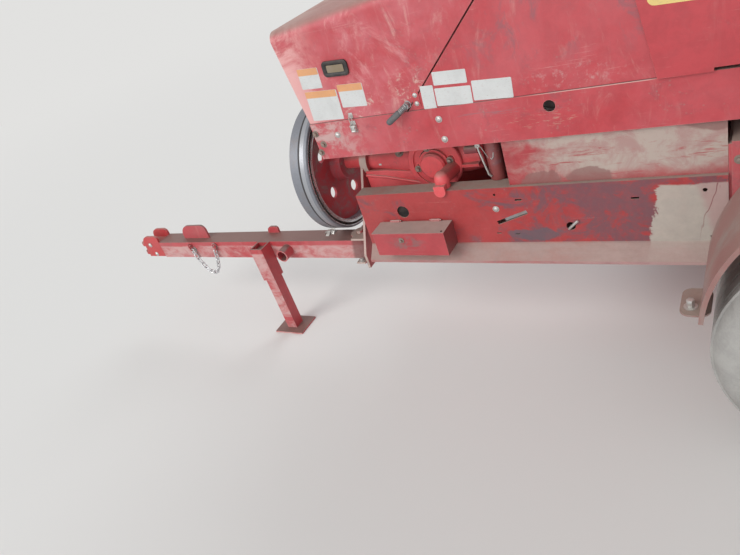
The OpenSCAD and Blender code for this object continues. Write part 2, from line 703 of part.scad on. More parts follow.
tongue_z = tongue_top - tongue_s / 2;
tongue_low = tongue_top - tongue_s;
tongue_y0 = pivot_y - tongue_s / 2;
tongue_y1 = pivot_y + tongue_s / 2;
stand_x = pivot_x - stand_ahead;
stand_y = tongue_y0 - 38;
leg_s = 60;
guide_gap = 0.4;
guide_l = 190;
jack_x = pivot_x - 425;
jack_bore_r = 26;
jack_l = 60;
jaw_t = 18;
jaw_gap = 38;
beam_start = hitch_x + 150;
cheek_l = 130;
module tongue_beam() centred() color(red) {
    difference() {
        union() {
            block([beam_start, tongue_y0, tongue_low], [pivot_x, tongue_y1, tongue_top]);
            translate([pivot_x, pivot_y, tongue_low]) cylinder(r = tongue_s / 2 - 0.5, h = tongue_s);
        }
        translate([pivot_x, pivot_y, tongue_low - 1]) cylinder(r = pivot_pin_r + 0.06, h = tongue_s + 2);
    }
    // Stub tube for a jack on the left face
    difference() {
        along_y([jack_x, tongue_y0 - jack_l, tongue_z], jack_bore_r + 6, jack_l + 1);
        along_y([jack_x, tongue_y0 - jack_l - 1, tongue_z], jack_bore_r, jack_l + 1);
    }
    // Post that guides the stand's leg
    difference() {
        block([stand_x - 38, stand_y - 38, tongue_top - guide_l], [stand_x + 38, tongue_y0, tongue_top]);
        translate([stand_x, stand_y, tongue_top - guide_l / 2])
            cube([leg_s + 2 * guide_gap, leg_s + 2 * guide_gap, guide_l + 2], center = true);
    }
    // Round-topped lug on the beam near the hitch and a small bracket behind it
    for (g = [[hitch_x + 330, 190, 80, -6], [pivot_x - 590, 70, 36, tongue_s / 2 - 14]])
        sheet_xz(pivot_y + g[3], 12) difference() {
            translate([g[0], tongue_top - 1]) square([g[1], g[2]]);
            corner_waste([g[0], tongue_top - 1 + g[2]], [1, -1], g[2] * 0.8);
            corner_waste([g[0] + g[1], tongue_top - 1 + g[2]], [-1, -1], g[2] * 0.4);
        }
    // Eyes of the safety chain, each on a stud from the beam's face
    for (k = [-1, chain_n]) {
        at_link(k) chain_link();
        c = link_middle(k);
        along_y([c[0], tongue_y0 - 20, c[1]], 7, 20);
    }
}
// Clevis: two jaws and an upright cheek on each side
module hitch_clevis() centred() color(bright_red) {
    difference() {
        union() {
            block([hitch_x + 70, pivot_y - jaw_r + 2, tongue_z - jaw_gap / 2 - jaw_t],
                [beam_start - seat, pivot_y + jaw_r - 2, tongue_z + jaw_gap / 2 + jaw_t]);
            for (z = [tongue_z + jaw_gap / 2, tongue_z - jaw_gap / 2 - jaw_t]) {
                block([hitch_x, pivot_y - jaw_r + 2, z], [hitch_x + 90, pivot_y + jaw_r - 2, z + jaw_t]);
                translate([hitch_x, pivot_y, z]) cylinder(r = jaw_r, h = jaw_t);
            }
            for (y = [pivot_y - jaw_r - 10, pivot_y + jaw_r - 4]) sheet_xz(y, 14) difference() {
                translate([beam_start - cheek_l - seat, tongue_low + 6]) square([cheek_l, tongue_s + 34]);
                corner_waste([beam_start - cheek_l - seat, tongue_top + 40], [1, -1], 50);
                corner_waste([beam_start - seat, tongue_top + 40], [-1, -1], 24);
            }
        }
        translate([hitch_x, pivot_y, tongue_z - 60]) cylinder(r = hitch_hole_r, h = 120);
    }
}
// Safety chain: links end to end, each turned a quarter from the last, whose slopes
// follow a hanging line between two eyes on the tongue's left face
chain_n = 12;
chain_pitch = 30.8;
chain_hang = 0.8;   // change of slope from link to link
chain_x = hitch_x + 415;
chain_z = tongue_z + 10;
wire_r = 3.5;
link_r = 9;
link_l = 20;
function link_dir(k) = let (a = atan(chain_hang * (k - (chain_n - 1) / 2))) [cos(a), sin(a)];
function link_start(k) = k == 0 ? [chain_x, chain_z] : link_start(k - 1) + chain_pitch * link_dir(k - 1);
function link_middle(k) = k < 0 ? link_start(0) - chain_pitch / 2 * link_dir(k)
    : link_start(k) + chain_pitch / 2 * link_dir(k);
module chain_link() {
    for (s = [-1, 1]) {
        translate([s * link_r, 0, -link_l / 2 - 0.8]) cylinder(r = wire_r - 0.1, h = link_l + 1.6);
        translate([0, 0, s * link_l / 2]) rotate([s * 90, 0, 0])
            rotate_extrude(angle = 180) translate([link_r, 0]) circle(wire_r);
    }
}
module at_link(k) {
    c = link_middle(k);
    d = link_dir(k);
    translate([c[0], tongue_y0 - 14, c[1]]) rotate([0, 90 - atan2(d[1], d[0]), 0])
        rotate([0, 0, abs(k) % 2 * 90]) children();
}
module safety_chain() centred() color(steel) for (k = [0 : chain_n - 1]) at_link(k) chain_link();

stand_pad = 8;
module stand_leg() centred() color(red) {
    block([stand_x - leg_s / 2, stand_y - leg_s / 2, stand_pad], [stand_x + leg_s / 2, stand_y
        + leg_s / 2, tongue_top - 20]);
    block([stand_x - 90, stand_y - 70, 0], [stand_x + 90, stand_y + 70, stand_pad]);
}

// Pickup

core_r = 30;
gauge_pin_r = 12.94;
pickup_y1 = pickup_y + pickup_w;
lift_x = -236;
lift_z = 497;
lift_tube_r = 9.5;
module side_sheet_outline() {
    polygon([
        [reel_x - 150, reel_z - 140], [reel_x - 215, reel_z + 20], [reel_x - 150, reel_z + 170],
        [guard_x - 14, guard_z + 20], [guard_x + 14, guard_z + 20],
        [lift_x + 10, lift_z + 20], [lift_x + 10, lift_z - 20], [reel_x + 190, reel_z - 60], [reel_x
            + 60, reel_z - 170]
    ]);
}
module pickup_frame() centred() color(red) {
    for (y = [pickup_y, pickup_y1 - flare_t]) sheet_xz(y, flare_t) side_sheet_outline();
    // Fixed core tube of the reel and pivot tube behind it
    along_y([reel_x, pickup_y + flare_t - 1, reel_z], core_r, pickup_w - 2 * flare_t + 2);
    along_y([lift_x, pickup_y, lift_z], lift_tube_r, pickup_w);
    // Arm and pin of the gauge wheel
    arm_y = pickup_y1 + 8;
    rod([reel_x + 40, arm_y, reel_z - 60], [gauge_c[0], arm_y, gauge_c[2]], 12);
    along_y([reel_x + 40, pickup_y1 - 2, reel_z - 60], 16, 22);
    along_y([gauge_c[0], arm_y - 4, gauge_c[2]], gauge_pin_r, 87);
}
band_w = 40;
band_edge = 40;     // middle of the outer bands from the side sheets
band_pitch = (pickup_w - 2 * band_edge) / (band_count - 1);
// Band: a hoop round the reel whose upper end runs straight back over the pivot tube
band_t = 3;
band_dx = lift_x - reel_x;
band_dz = lift_z - reel_z;
band_phi = atan2(band_dz, band_dx)
    + acos((band_r - band_t - lift_tube_r - seat) / norm([band_dx, band_dz]));
function on_circle(c, r, a) = [c[0] + r * cos(a), c[1] + r * sin(a)];
module stripper_bands() centred() color(bright_red) {
    c = [reel_x, reel_z];
    t = [lift_x, lift_z];
    for (k = [0 : band_count - 1]) translate([0, pickup_y + band_edge + k * band_pitch - band_w / 2, 0]) {
        translate([reel_x, band_w, reel_z]) rotate([90, 0, 0]) rotate([0, 0, band_phi])
            rotate_extrude(angle = 205, $fn = 96) translate([band_r - band_t, 0]) square([band_t, band_w]);
        sheet_xz(0, band_w) polygon([
            on_circle(c, band_r - band_t, band_phi - 0.2), on_circle(c, band_r, band_phi - 0.2),
            on_circle(t, lift_tube_r + seat + band_t, band_phi), on_circle(t, lift_tube_r + seat, band_phi)
        ]);
    }
}
// Reel: four bars between two end plates; each spring tine has a coil and a bent tip
bar_r = 130;
bar_count = 4;
plate_gap = 12;
tine_wire = 3;
coil_r = 16;
// Bend and tip of a tine: radius, angle ahead of its bar
tine_bend = [205, -9];
tine_tip = [tine_r, -5];
module reel_plate() difference() {
    cylinder(r = bar_r + 14, h = 8, $fn = 96);
    translate([0, 0, -1]) cylinder(r = core_r + 0.08, h = 10);
    for (a = [0 : bar_count - 1]) rotate([0, 0, (a + 0.5) * 360 / bar_count]) translate([82, 0, -1])
        cylinder(r = 34, h = 10);
}
module pickup_reel() centred() color(steel) {
    c = [reel_x, reel_z];
    for (a = [0 : bar_count - 1]) {
        turn = 20 + a * 360 / bar_count;
        bar = on_circle(c, bar_r, turn);
        bend = on_circle(c, tine_bend[0], turn + tine_bend[1]);
        tip = on_circle(c, tine_tip[0], turn + tine_tip[1]);
        along_y([bar[0], pickup_y + plate_gap, bar[1]], 10, pickup_w - 2 * plate_gap);
        for (k = [0 : band_count - 2]) {
            y = pickup_y + band_edge + (k + 0.5) * band_pitch;
            along_y([bar[0], y - 9, bar[1]], coil_r, 18);
            rod([bar[0], y, bar[1]], [bend[0], y, bend[1]] + 0.03 * [bend[0] - bar[0],
                0, bend[1] - bar[1]], tine_wire);
            rod([bend[0], y, bend[1]], [tip[0], y, tip[1]], tine_wire);
        }
    }
    for (y = [pickup_y + plate_gap, pickup_y1 - plate_gap - 8]) translate([reel_x, y, reel_z])
        rotate([-90, 0, 0]) reel_plate();
}
guard_x = reel_x + 60;
guard_z = reel_z + 330;
guard_rods = 12;
guard_edge = 60;
module wind_guard() centred() color(red) {
    along_y([guard_x, pickup_y + flare_t + seat, guard_z], 12, pickup_w - 2 * flare_t - 2 * seat);
    for (k = [0 : guard_rods - 1]) {
        y = pickup_y + guard_edge + k * (pickup_w - 2 * guard_edge) / (guard_rods - 1);
        rod([guard_x, y, guard_z], [guard_x - 200, y, guard_z + 8], 5);
        rod([guard_x - 199, y, guard_z + 8], [guard_x - 340, y, guard_z - 40], 5);
    }
}
gauge_c = [reel_x + 120, pickup_y1 + 60, 195];
module gauge_wheel() centred() color(rubber) turned_y([gauge_c[0], gauge_c[1], gauge_c[2]]) {
    polygon([[13, -17], [60, -17], [80, -10], [150, -10], [160, -22], [190, -14], [192, 0], [190, 14],
        [160, 22], [150, 10], [80, 10], [60, 17], [13, 17]]);
}

// Needles: two arcs on a yoke that swings from under the case
yoke_x = needle_x - 380;
yoke_z = chamber_z + 118;
yoke_down = 100;  // yoke below level at rest, in degrees
needle_low = 21;   // needle tips below level at rest
needle_r = 420;
yoke_y = side_y + 20;
module needle_frame() centred() color(steel) {
    for (s = [-1, 1]) translate([yoke_x, s * needle_y, yoke_z]) rotate([90, 0, 0]) translate([0, 0, -8])
        rotate([0, 0, -yoke_down]) rotate_extrude(angle = yoke_down - needle_low, $fn = 96)
            translate([needle_r - 16, 0]) square([32, 16]);
    bar = [yoke_x + needle_r * cos(yoke_down), 0, yoke_z - needle_r * sin(yoke_down)];
    for (s = [-1, 1]) {
        rod([yoke_x, s * yoke_y, yoke_z], [bar[0], s * yoke_y, bar[2]], 16);
        along_y([yoke_x, s * yoke_y - 14, yoke_z], 30, 28);
        // Pivot stubs up to the case's walls
        along_y([yoke_x, s > 0 ? half_w + wall + seat : -yoke_y, yoke_z],
            20, yoke_y - half_w - wall - seat);
    }
    along_y([bar[0], -yoke_y, bar[2]], 20, 2 * yoke_y);
}
// Knotters on the case roof: a shaft with a toothed cam gear, twine disc and bill hook each
hood_r = 320;
hood_base_z = chamber_top + 180;
knot_x = needle_x + 20;
knot_z = chamber_top + 230;
gear_r = 125;
rail_y = 228;       // rails under the knotter hood's foot
knot_hinge_x = needle_x - hood_r - 5;
knot_hinge_z = hood_base_z + 12;
module knotter(y) {
    turned_y([knot_x, y - 20, knot_z])
        polygon([[0, 0], [gear_r, 0], [gear_r, 28], [108, 28], [108, 12], [46, 12], [46, 40], [0, 40]]);
    for (t = [0 : 9]) translate([knot_x, y + 6, knot_z]) rotate([0, 20 + t * 7, 0]) block([96, 0, -2.5],
        [112, 10, 2.5]);
    // Frame from the shaft down to the cross bar, twine disc and bill hook
    sheet_xz(y + 22, 12) polygon([
        [knot_x - 30, knot_z + 34], [knot_x + 34, knot_z + 34], [needle_x + 115, chamber_top + wall + 30],
        [needle_x + 78, chamber_top + wall + 10], [knot_x - 52, knot_z - 74], [knot_x - 66, knot_z - 40]
    ]);
    turned_y([knot_x - 58, y - 8, knot_z - 66]) polygon([[0, 0], [44, 0], [44, 6], [12, 6], [12, 31],
        [0, 31]]);
    rod([knot_x - 20, y + 24, knot_z - 86], [knot_x - 20, y - 6, knot_z - 110], 9);
    rod([knot_x - 20, y - 6, knot_z - 110], [knot_x - 44, y - 12, knot_z - 122], 5);
}
cheek_y = 190;      // side cheeks under the hood
bar_x = [needle_x + 75, needle_x + 115];
ear_in = 1;         // from the hood's end wall to the hinge ear
ear_out = 7;
post_w = 30;
module knotter_stack() centred() color(steel) {
    roof = chamber_top + wall;
    foot = hood_base_z - 30;
    block([bar_x[0], -half_w, roof + seat], [bar_x[1], half_w, roof + 30]);
    along_y([knot_x, -cheek_y - 20, knot_z], 22, 2 * cheek_y + 40);
    for (s = [-1, 1]) knotter(s * needle_y);
    both_sides() {
        block([needle_x - 20, cheek_y - 8, roof + 20], [bar_x[1], cheek_y + 8, knot_z + 30]);
        // Rail and posts under the hood's foot
        block([needle_x - hood_r, rail_y - 12, foot], [needle_x + hood_r, rail_y + 12, hood_base_z - seat]);
        for (x = [needle_x - hood_r + 5, needle_x + hood_r - post_w - 10])
            block([x, rail_y - 12, roof + seat], [x + post_w, rail_y + 4, foot]);
        block([bar_x[1] - 15, cheek_y - 1, foot], [bar_x[1] + 9, rail_y - 7, hood_base_z - 6]);
        // Hinge ear and pin outside the hood's wall
        block([knot_hinge_x - 8, hood_w - 4, foot + 2], [knot_hinge_x + post_w, hood_w
            + ear_out, hood_base_z - 8]);
        block([knot_hinge_x - 7, hood_w + ear_in, hood_base_z - 10],
            [knot_hinge_x + 7, hood_w + ear_out, knot_hinge_z]);
        along_y([knot_hinge_x, hood_w + ear_in, knot_hinge_z], knuckle_r, ear_out - ear_in);
        along_y([knot_hinge_x, hood_w - 40, knot_hinge_z], hinge_pin_r, 40 + ear_out);
    }
}
hood_w = 240;       // half width of the knotter hood
module knotter_hood() centred() color(red) difference() {
    union() {
        translate([needle_x, -hood_w, hood_base_z]) rotate([-90, 0, 0]) difference() {
            cylinder(r = hood_r, h = 2 * hood_w, $fn = 96);
            translate([0, 0, 4]) cylinder(r = hood_r - 4, h = 2 * hood_w - 8, $fn = 96);
        }
        along_y([knot_hinge_x, -hood_w + 0.5, knot_hinge_z], knuckle_r, 2 * hood_w - 1);
    }
    block([needle_x - hood_r - 9, -hood_w - 1, hood_base_z - hood_r - 1], [needle_x + hood_r
        + 1, hood_w + 1, hood_base_z]);
    along_y([knot_hinge_x, -hood_w - 1, knot_hinge_z], hinge_bore_r, 2 * hood_w + 2);
}
// Twine box behind the feeder
tb_x = [560, 1360];
tb_y = [300, 780];
tb_z = [600, 1150];
tb_round = 16;
tb_t = 4;
lid_t = 7;
// Lid hinges along the box's left edge: axis in y and z, front ends and length of the knuckles
lid_axis = [tb_y[0] - 10, tb_z[1] + 3.6];
lid_hinges = [tb_x[0] + 80, tb_x[1] - 140];
lid_knuckle = 60;
module twine_box() centred() color(red) {
    difference() {
        round_box([tb_x[0], tb_y[0], tb_z[0]], [tb_x[1], tb_y[1], tb_z[1]], tb_round);
        round_box([tb_x[0] + tb_t, tb_y[0] + tb_t, tb_z[0] + tb_t],
            [tb_x[1] - tb_t, tb_y[1] - tb_t, tb_z[1] + 1], tb_round - tb_t);
    }
    // Brackets to the case
    for (x = [tb_x[0] + 60, tb_x[1] - 100])
        block([x, half_w + wall + seat, tb_z[0] + 90], [x + 50, tb_y[0] + 1, tb_z[0] + 140]);
    for (x = lid_hinges) {
        along_x([x - 7, lid_axis[0], lid_axis[1]], 3.94, lid_knuckle + 14);
        for (e = [x - 7, x + lid_knuckle + 1]) {
            along_x([e, lid_axis[0], lid_axis[1]], 5.5, 6);
            block([e, lid_axis[0] - 5.4, tb_z[1] - 20], [e + 6, lid_axis[0] + 5.4, lid_axis[1]]);
            block([e, lid_axis[0] - 5.4, tb_z[1] - 20], [e + 6, tb_y[0] + 1, tb_z[1] - 1]);
        }
    }
}
module twine_box_lid() centred() color(red) difference() {
    union() {
        difference() {
            round_box([tb_x[0] - 8, tb_y[0] - 4, tb_z[1] - 30], [tb_x[1] + 8, tb_y[1] + 8, tb_z[1]
                + lid_t], tb_round + 5);
            round_box([tb_x[0] - 5, tb_y[0] - 60, tb_z[1] - 31], [tb_x[1] + 5, tb_y[1] + 5, tb_z[1]
                + seat], tb_round + 2);
        }
        for (x = lid_hinges) along_x([x, lid_axis[0], lid_axis[1]], 6.5, lid_knuckle);
    }
    for (x = lid_hinges) along_x([x - 1, lid_axis[0], lid_axis[1]], 4, lid_knuckle + 2);
}
// Tension rails at the rear of the case and their cranks
tension_y = 60;     // middle of each upper rail
rail_end = [open_case_x + 20, case_rear_x - 5];
stud_x = [rings[3] - 10, case_rear_x - 50];
module tension_rails() centred() color(red) both_sides() {
    side = half_w - 8;
    block([rail_end[0], tension_y - 35, chamber_top - 20], [rail_end[1], tension_y + 35, chamber_top - 8]);
    block([rail_end[0], side - 6, chamber_z + angle_w + 40], [rail_end[1], side
        + 6, chamber_top - angle_w - 40]);
    // Studs up to the roof and out to the frames
    for (x = stud_x) {
        block([x, tension_y - 15, chamber_top - 9], [x + 20, tension_y + 15, chamber_top + wall - seat]);
        block([x, side + 5, chamber_z + 150], [x + 20, half_w + wall - seat, chamber_z + 190]);
    }
}
// Cross bar over the rear frame, and a screw with its spring, cap and crank on each side
crank_screw_x = case_rear_x - 45;
crank_bar_z = chamber_top + wall + 54;
spring_turns = 7;
spring_r = 23;
spring_pitch = 17;
module tension_crank(y) {
    spring_l = spring_turns * spring_pitch;
    grip_x = crank_screw_x + 95;
    top = crank_bar_z + 250;
    translate([crank_screw_x, y, crank_bar_z - 4]) cylinder(r = 12, h = 254 + 8);
    translate([crank_screw_x, y, crank_bar_z + 2]) rotate_extrude() polygon(concat(
        [[0, -3], [26, -3], [26, 0]],
        [for (k = [0 : 2 * spring_turns]) [k % 2 == 0 ? spring_r - 6 : spring_r, k * spring_pitch / 2]],
        [[28, spring_l], [28, spring_l + 6], [0, spring_l + 6]]
    ));
    rod([crank_screw_x, y, top], [grip_x, y, top], 8);
    rod([grip_x, y, top - 10], [grip_x, y, top + 95], 11);
}
module tension_cranks() centred() color(steel) {
    block([case_rear_x - 70, -half_w - wall - 14, chamber_top + wall + 14 + seat],
        [case_rear_x - 20, half_w + wall + 14, crank_bar_z]);
    for (s = [-1, 1]) tension_crank(s * 110);
}
star_r = 122;
star_points = 12;
module star_wheel() centred() color(steel) {
    translate([star_x, 4, star_z]) rotate([90, 0, 0]) linear_extrude(8) difference() {
        polygon([for (k = [0 : 2 * star_points - 1]) on_circle([0, 0],
            k % 2 == 0 ? star_r : star_r * 0.72, k * 180 / star_points)]);
        for (a = [45 : 90 : 315]) translate(on_circle([0, 0], 54, a)) circle(17);
    }
    along_y([star_x, -13, star_z], 26, 26);
    along_y([star_x, -34, star_z], star_pin_r, 68);
}
module bale_chute() centred() color(red) {
    for (s = [-1, 1]) {
        rod([chute_x, s * 170, chute_z], [chute_x + chute_l - 30, s * 170, chute_z], 12);
        rod([chute_x, s * 170, chute_z], [chute_x + chute_l - 30, s * 225, chute_z + 160], 9);
    }
    along_y([chute_x, -210, chute_z], chute_bar_r, 420);
    for (x = [250, 500, chute_l - 30]) along_y([chute_x + x, -170, chute_z], chute_bar_r, 340);
}
// Toolbox on the left beam
box_x = [-1660, -1335];
box_z = [beam_z + 4, beam_z + 108];
tool_t = 3;
tool_y = -side_y - 100;
// Lid hinges beside the beam: axis in y and z, front ends and length of the knuckles
tool_axis = [-side_y - 6, box_z[1] + 5.5];
tool_hinges = [box_x[0] + 50, box_x[1] - 90];
tool_knuckle = 40;
module toolbox() centred() color(red) {
    difference() {
        block([box_x[0], tool_y, box_z[0]], [box_x[1], -side_y - seat, box_z[1]]);
        block([box_x[0] + tool_t, tool_y + tool_t, box_z[0] + tool_t],
            [box_x[1] - tool_t, -side_y - tool_t, box_z[1] + 1]);
    }
    for (x = tool_hinges) {
        along_x([x - 6, tool_axis[0], tool_axis[1]], 2.5, tool_knuckle + 12);
        for (e = [x - 6, x + tool_knuckle + 1]) {
            along_x([e, tool_axis[0], tool_axis[1]], 4, 5);
            block([e, tool_axis[0] - 1, box_z[1] - 12], [e + 5, -side_y - seat - 0.5, tool_axis[1]]);
        }
    }
}
module toolbox_lid() centred() color(dusty) difference() {
    union() {
        block([box_x[0] - 3, tool_y - 3, box_z[1] + seat], [box_x[1] + 3, tool_axis[0] - 4.5, box_z[1]
            + 4]);
        for (x = tool_hinges) {
            along_x([x, tool_axis[0], tool_axis[1]], 5.2, tool_knuckle);
            block([x, tool_axis[0] - 8, box_z[1] + 1], [x
                + tool_knuckle, tool_axis[0] - 3, tool_axis[1] + 1]);
        }
    }
    for (x = tool_hinges) along_x([x - 1, tool_axis[0], tool_axis[1]], 2.56, tool_knuckle + 2);
}
guard_y = 306;
guard_w = 36;
module pickup_drive_shield() centred() color(red) {
    a = [crank_x, shaft_z - 10];
    b = [reel_x, reel_z];
    d = b - a;
    difference() {
        sheet_xz(guard_y, guard_w) hull() { translate(a) circle(100); translate(b) circle(80); }
        sheet_xz(guard_y - 1, guard_w - 2) hull() { translate(a) circle(97); translate(b) circle(77); }
    }
    // Stays to the right beam's web
    for (t = [0.3, 0.55]) along_y([a[0] + d[0] * t, side_y + seat, a[1] + d[1] * t],
        14, guard_y - side_y + guard_w - 2);
}
// Flywheel: dished web with round holes, and a rim whose face has a groove between two rings
stub_r = 17.5;
stub_l = 60;
rim_depth = 40;
module flywheel() centred() color(steel) difference() {
    rim_in = flywheel_r - rim_depth;
    turned_x([flywheel_x - flywheel_w, 0, shaft_z]) polygon([
        [0, -stub_l], [stub_r - 2, -stub_l], [stub_r, 2 - stub_l], [stub_r, 10], [60, 10], [72, 36],
            [200, 50],
        [rim_in, 50], [rim_in, 10], [rim_in + 3, 4], [flywheel_r - 18, 4], [flywheel_r - 18, 12],
        [flywheel_r - 11, 12], [flywheel_r - 11, 0], [flywheel_r - 2, 0], [flywheel_r, 2],
        [flywheel_r, flywheel_w - 3], [flywheel_r - 3, flywheel_w], [rim_in, flywheel_w], [rim_in, 62],
            [200, 62],
        [80, 50], [70, flywheel_w + 8], [0, flywheel_w + 8]
    ]);
    for (k = [0 : 4]) translate([flywheel_x - flywheel_w, 0, shaft_z]) rotate([k * 72, 0, 0])
        along_x([0, 150, 0], 26, flywheel_w);
}

side_beams();
case_floor();
bale_case();
rear_case();
side_channels();
inner_panels();
front_gusset();
gearbox();
plunger_drive();
plunger();
side_shields();
rear_shields();
feeder_housing();
axles();
fender();
twine_box();
knotter_stack();
tension_rails();
tension_cranks();
toolbox();
pickup_drive_shield();
front_hood();
hood_lever();
bale_counter();
flywheel();
left_rim();
left_tyre();
right_rim();
right_tyre();
tongue_beam();
hitch_clevis();
safety_chain();
stand_leg();
pickup_frame();
stripper_bands();
pickup_reel();
wind_guard();
gauge_wheel();
feeder_tines();
needle_frame();
star_wheel();
knotter_hood();
twine_box_lid();
toolbox_lid();
bale_chute();
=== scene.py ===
"""Finish of a parked square baler: paint, dust, fittings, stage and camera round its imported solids."""

import json
import math
import random

import bpy
from bpy.props import FloatProperty, FloatVectorProperty, PointerProperty
from bpy.types import Operator, Panel, PropertyGroup
from mathutils import Matrix, Vector
from mathutils.bvhtree import BVHTree


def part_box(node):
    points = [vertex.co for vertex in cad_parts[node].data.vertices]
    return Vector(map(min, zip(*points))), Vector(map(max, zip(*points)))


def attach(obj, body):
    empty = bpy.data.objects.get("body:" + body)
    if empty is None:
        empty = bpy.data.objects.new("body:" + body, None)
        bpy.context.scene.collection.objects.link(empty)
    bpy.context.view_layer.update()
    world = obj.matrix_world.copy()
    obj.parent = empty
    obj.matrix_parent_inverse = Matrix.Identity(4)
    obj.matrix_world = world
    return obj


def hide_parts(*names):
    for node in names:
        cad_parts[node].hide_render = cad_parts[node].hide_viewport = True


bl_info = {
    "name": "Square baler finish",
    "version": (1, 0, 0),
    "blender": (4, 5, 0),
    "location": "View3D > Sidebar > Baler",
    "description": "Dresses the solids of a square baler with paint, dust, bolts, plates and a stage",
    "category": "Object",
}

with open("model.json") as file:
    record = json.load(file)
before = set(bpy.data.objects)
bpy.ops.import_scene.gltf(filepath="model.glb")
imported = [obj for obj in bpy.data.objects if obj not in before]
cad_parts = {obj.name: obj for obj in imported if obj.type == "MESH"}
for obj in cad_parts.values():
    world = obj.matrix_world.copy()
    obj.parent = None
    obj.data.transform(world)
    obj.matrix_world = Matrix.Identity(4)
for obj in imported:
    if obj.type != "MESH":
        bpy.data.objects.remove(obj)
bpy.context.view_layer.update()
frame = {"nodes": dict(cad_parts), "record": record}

BODY_OF = {node: body for body, nodes in frame["record"]["behaviour"]["bodies"].items() for node in nodes}


def middle(node):
    """Middle of a node's box in the frame."""
    start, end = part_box(node)
    return (Vector(start) + Vector(end)) / 2


# Places are metres from the left axle (x), the case's centre line (y) and the floor (z)
AXLE_X = middle("left_tyre").x
CENTRE_Y = middle("side_channels").y


def at(x, y, z):
    """A place on the machine as a place in the frame."""
    return Vector((AXLE_X + x, CENTRE_Y + y, z))


def on_machine(place):
    """A place in the frame as a place on the machine."""
    place = Vector(place)
    return Vector((place.x - AXLE_X, place.y - CENTRE_Y, place.z))


def low(node):
    """Lowest corner of a node's box, on the machine."""
    return on_machine(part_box(node)[0])


def high(node):
    """Highest corner of a node's box, on the machine."""
    return on_machine(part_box(node)[1])


LEFT = Vector((0, -1, 0))
RIGHT = Vector((0, 1, 0))
REAR = Vector((1, 0, 0))
UP = Vector((0, 0, 1))


# Sizes and colours that a user may change

class BALER_PG_paint(PropertyGroup):
    red: FloatVectorProperty(
        name="Red", description="Clean paint of the sheet metal",
        subtype="COLOR", size=3, min=0, max=1, default=(0.50, 0.048, 0.060))
    cast_red: FloatVectorProperty(
        name="Cast red", description="Brighter paint of castings",
        subtype="COLOR", size=3, min=0, max=1, default=(0.54, 0.040, 0.042))
    faded: FloatVectorProperty(
        name="Faded", description="Chalky pink where the sun has bleached the paint",
        subtype="COLOR", size=3, min=0, max=1, default=(0.63, 0.185, 0.215))
    bleached: FloatVectorProperty(
        name="Bleached", description="Pale smears of chalked paint",
        subtype="COLOR", size=3, min=0, max=1, default=(0.76, 0.47, 0.42))
    grime: FloatVectorProperty(
        name="Grime", description="Grey smears left by grease and handling",
        subtype="COLOR", size=3, min=0, max=1, default=(0.175, 0.080, 0.098))
    dust: FloatVectorProperty(
        name="Dust", description="Tan hay dust on what faces up",
        subtype="COLOR", size=3, min=0, max=1, default=(0.32, 0.250, 0.212))
    chalk: FloatVectorProperty(
        name="Chalk", description="Pale caked dust of the inner panels",
        subtype="COLOR", size=3, min=0, max=1, default=(0.46, 0.40, 0.35))


class BALER_PG_hardware(PropertyGroup):
    heads: FloatProperty(
        name="Bolt heads", description="Size of the bolt heads, 1 as they are on the machine",
        min=0.5, max=1.5, default=1.0)
    label: FloatProperty(
        name="Plate thickness", description="Thickness of the blank plates",
        subtype="DISTANCE", unit="LENGTH", min=0.0002, max=0.002, default=0.0006)
    edge: FloatProperty(
        name="Edge radius", description="Rounding of cut sheet edges",
        subtype="DISTANCE", unit="LENGTH", min=0.0003, max=0.003, default=0.0012)


class BALER_PG_stage(PropertyGroup):
    floor: FloatVectorProperty(
        name="Floor", description="Colour of the plain floor",
        subtype="COLOR", size=3, min=0, max=1, default=(0.72, 0.715, 0.70))
    backdrop: FloatProperty(
        name="Backdrop", description="Brightness of what is seen behind the floor",
        min=0, max=1, default=0.76)
    sky: FloatProperty(
        name="Sky", description="Strength of the even light from all round", min=0, max=2, default=0.50)
    lamp: FloatProperty(
        name="Main lamp", description="Strength of the broad main lamp", min=0, max=20, default=1.50)
    lens: FloatProperty(
        name="Lens", description="Focal length of the camera in millimetres", min=10, max=200, default=30.93)


class BALER_PG_settings(PropertyGroup):
    paint: PointerProperty(type=BALER_PG_paint)
    hardware: PointerProperty(type=BALER_PG_hardware)
    stage: PointerProperty(type=BALER_PG_stage)


def settings():
    """The scene's values of what a user may change."""
    return bpy.context.scene.baler


# Shader maths

class Socket:
    """A node's output, so that shader maths reads as arithmetic."""

    def __init__(self, shader, socket):
        self.shader = shader
        self.socket = socket

    def math(self, operation, first, second):
        return self.shader.node("ShaderNodeMath", {"operation": operation}, {0: first, 1: second})

    def __add__(self, other):
        return self.math("ADD", self, other)

    def __sub__(self, other):
        return self.math("SUBTRACT", self, other)

    def __rsub__(self, other):
        return self.math("SUBTRACT", other, self)

    def __mul__(self, other):
        return self.math("MULTIPLY", self, other)

    def most(self, other):
        return self.math("MAXIMUM", self, other)

    def least(self, other):
        return self.math("MINIMUM", self, other)

    def within(self, start, end):
        """0 up to start, 1 from end on, and smooth between them."""
        return self.shader.node(
            "ShaderNodeMapRange", {"interpolation_type": "SMOOTHSTEP"},
            {"Value": self, "From Min": start, "From Max": end})


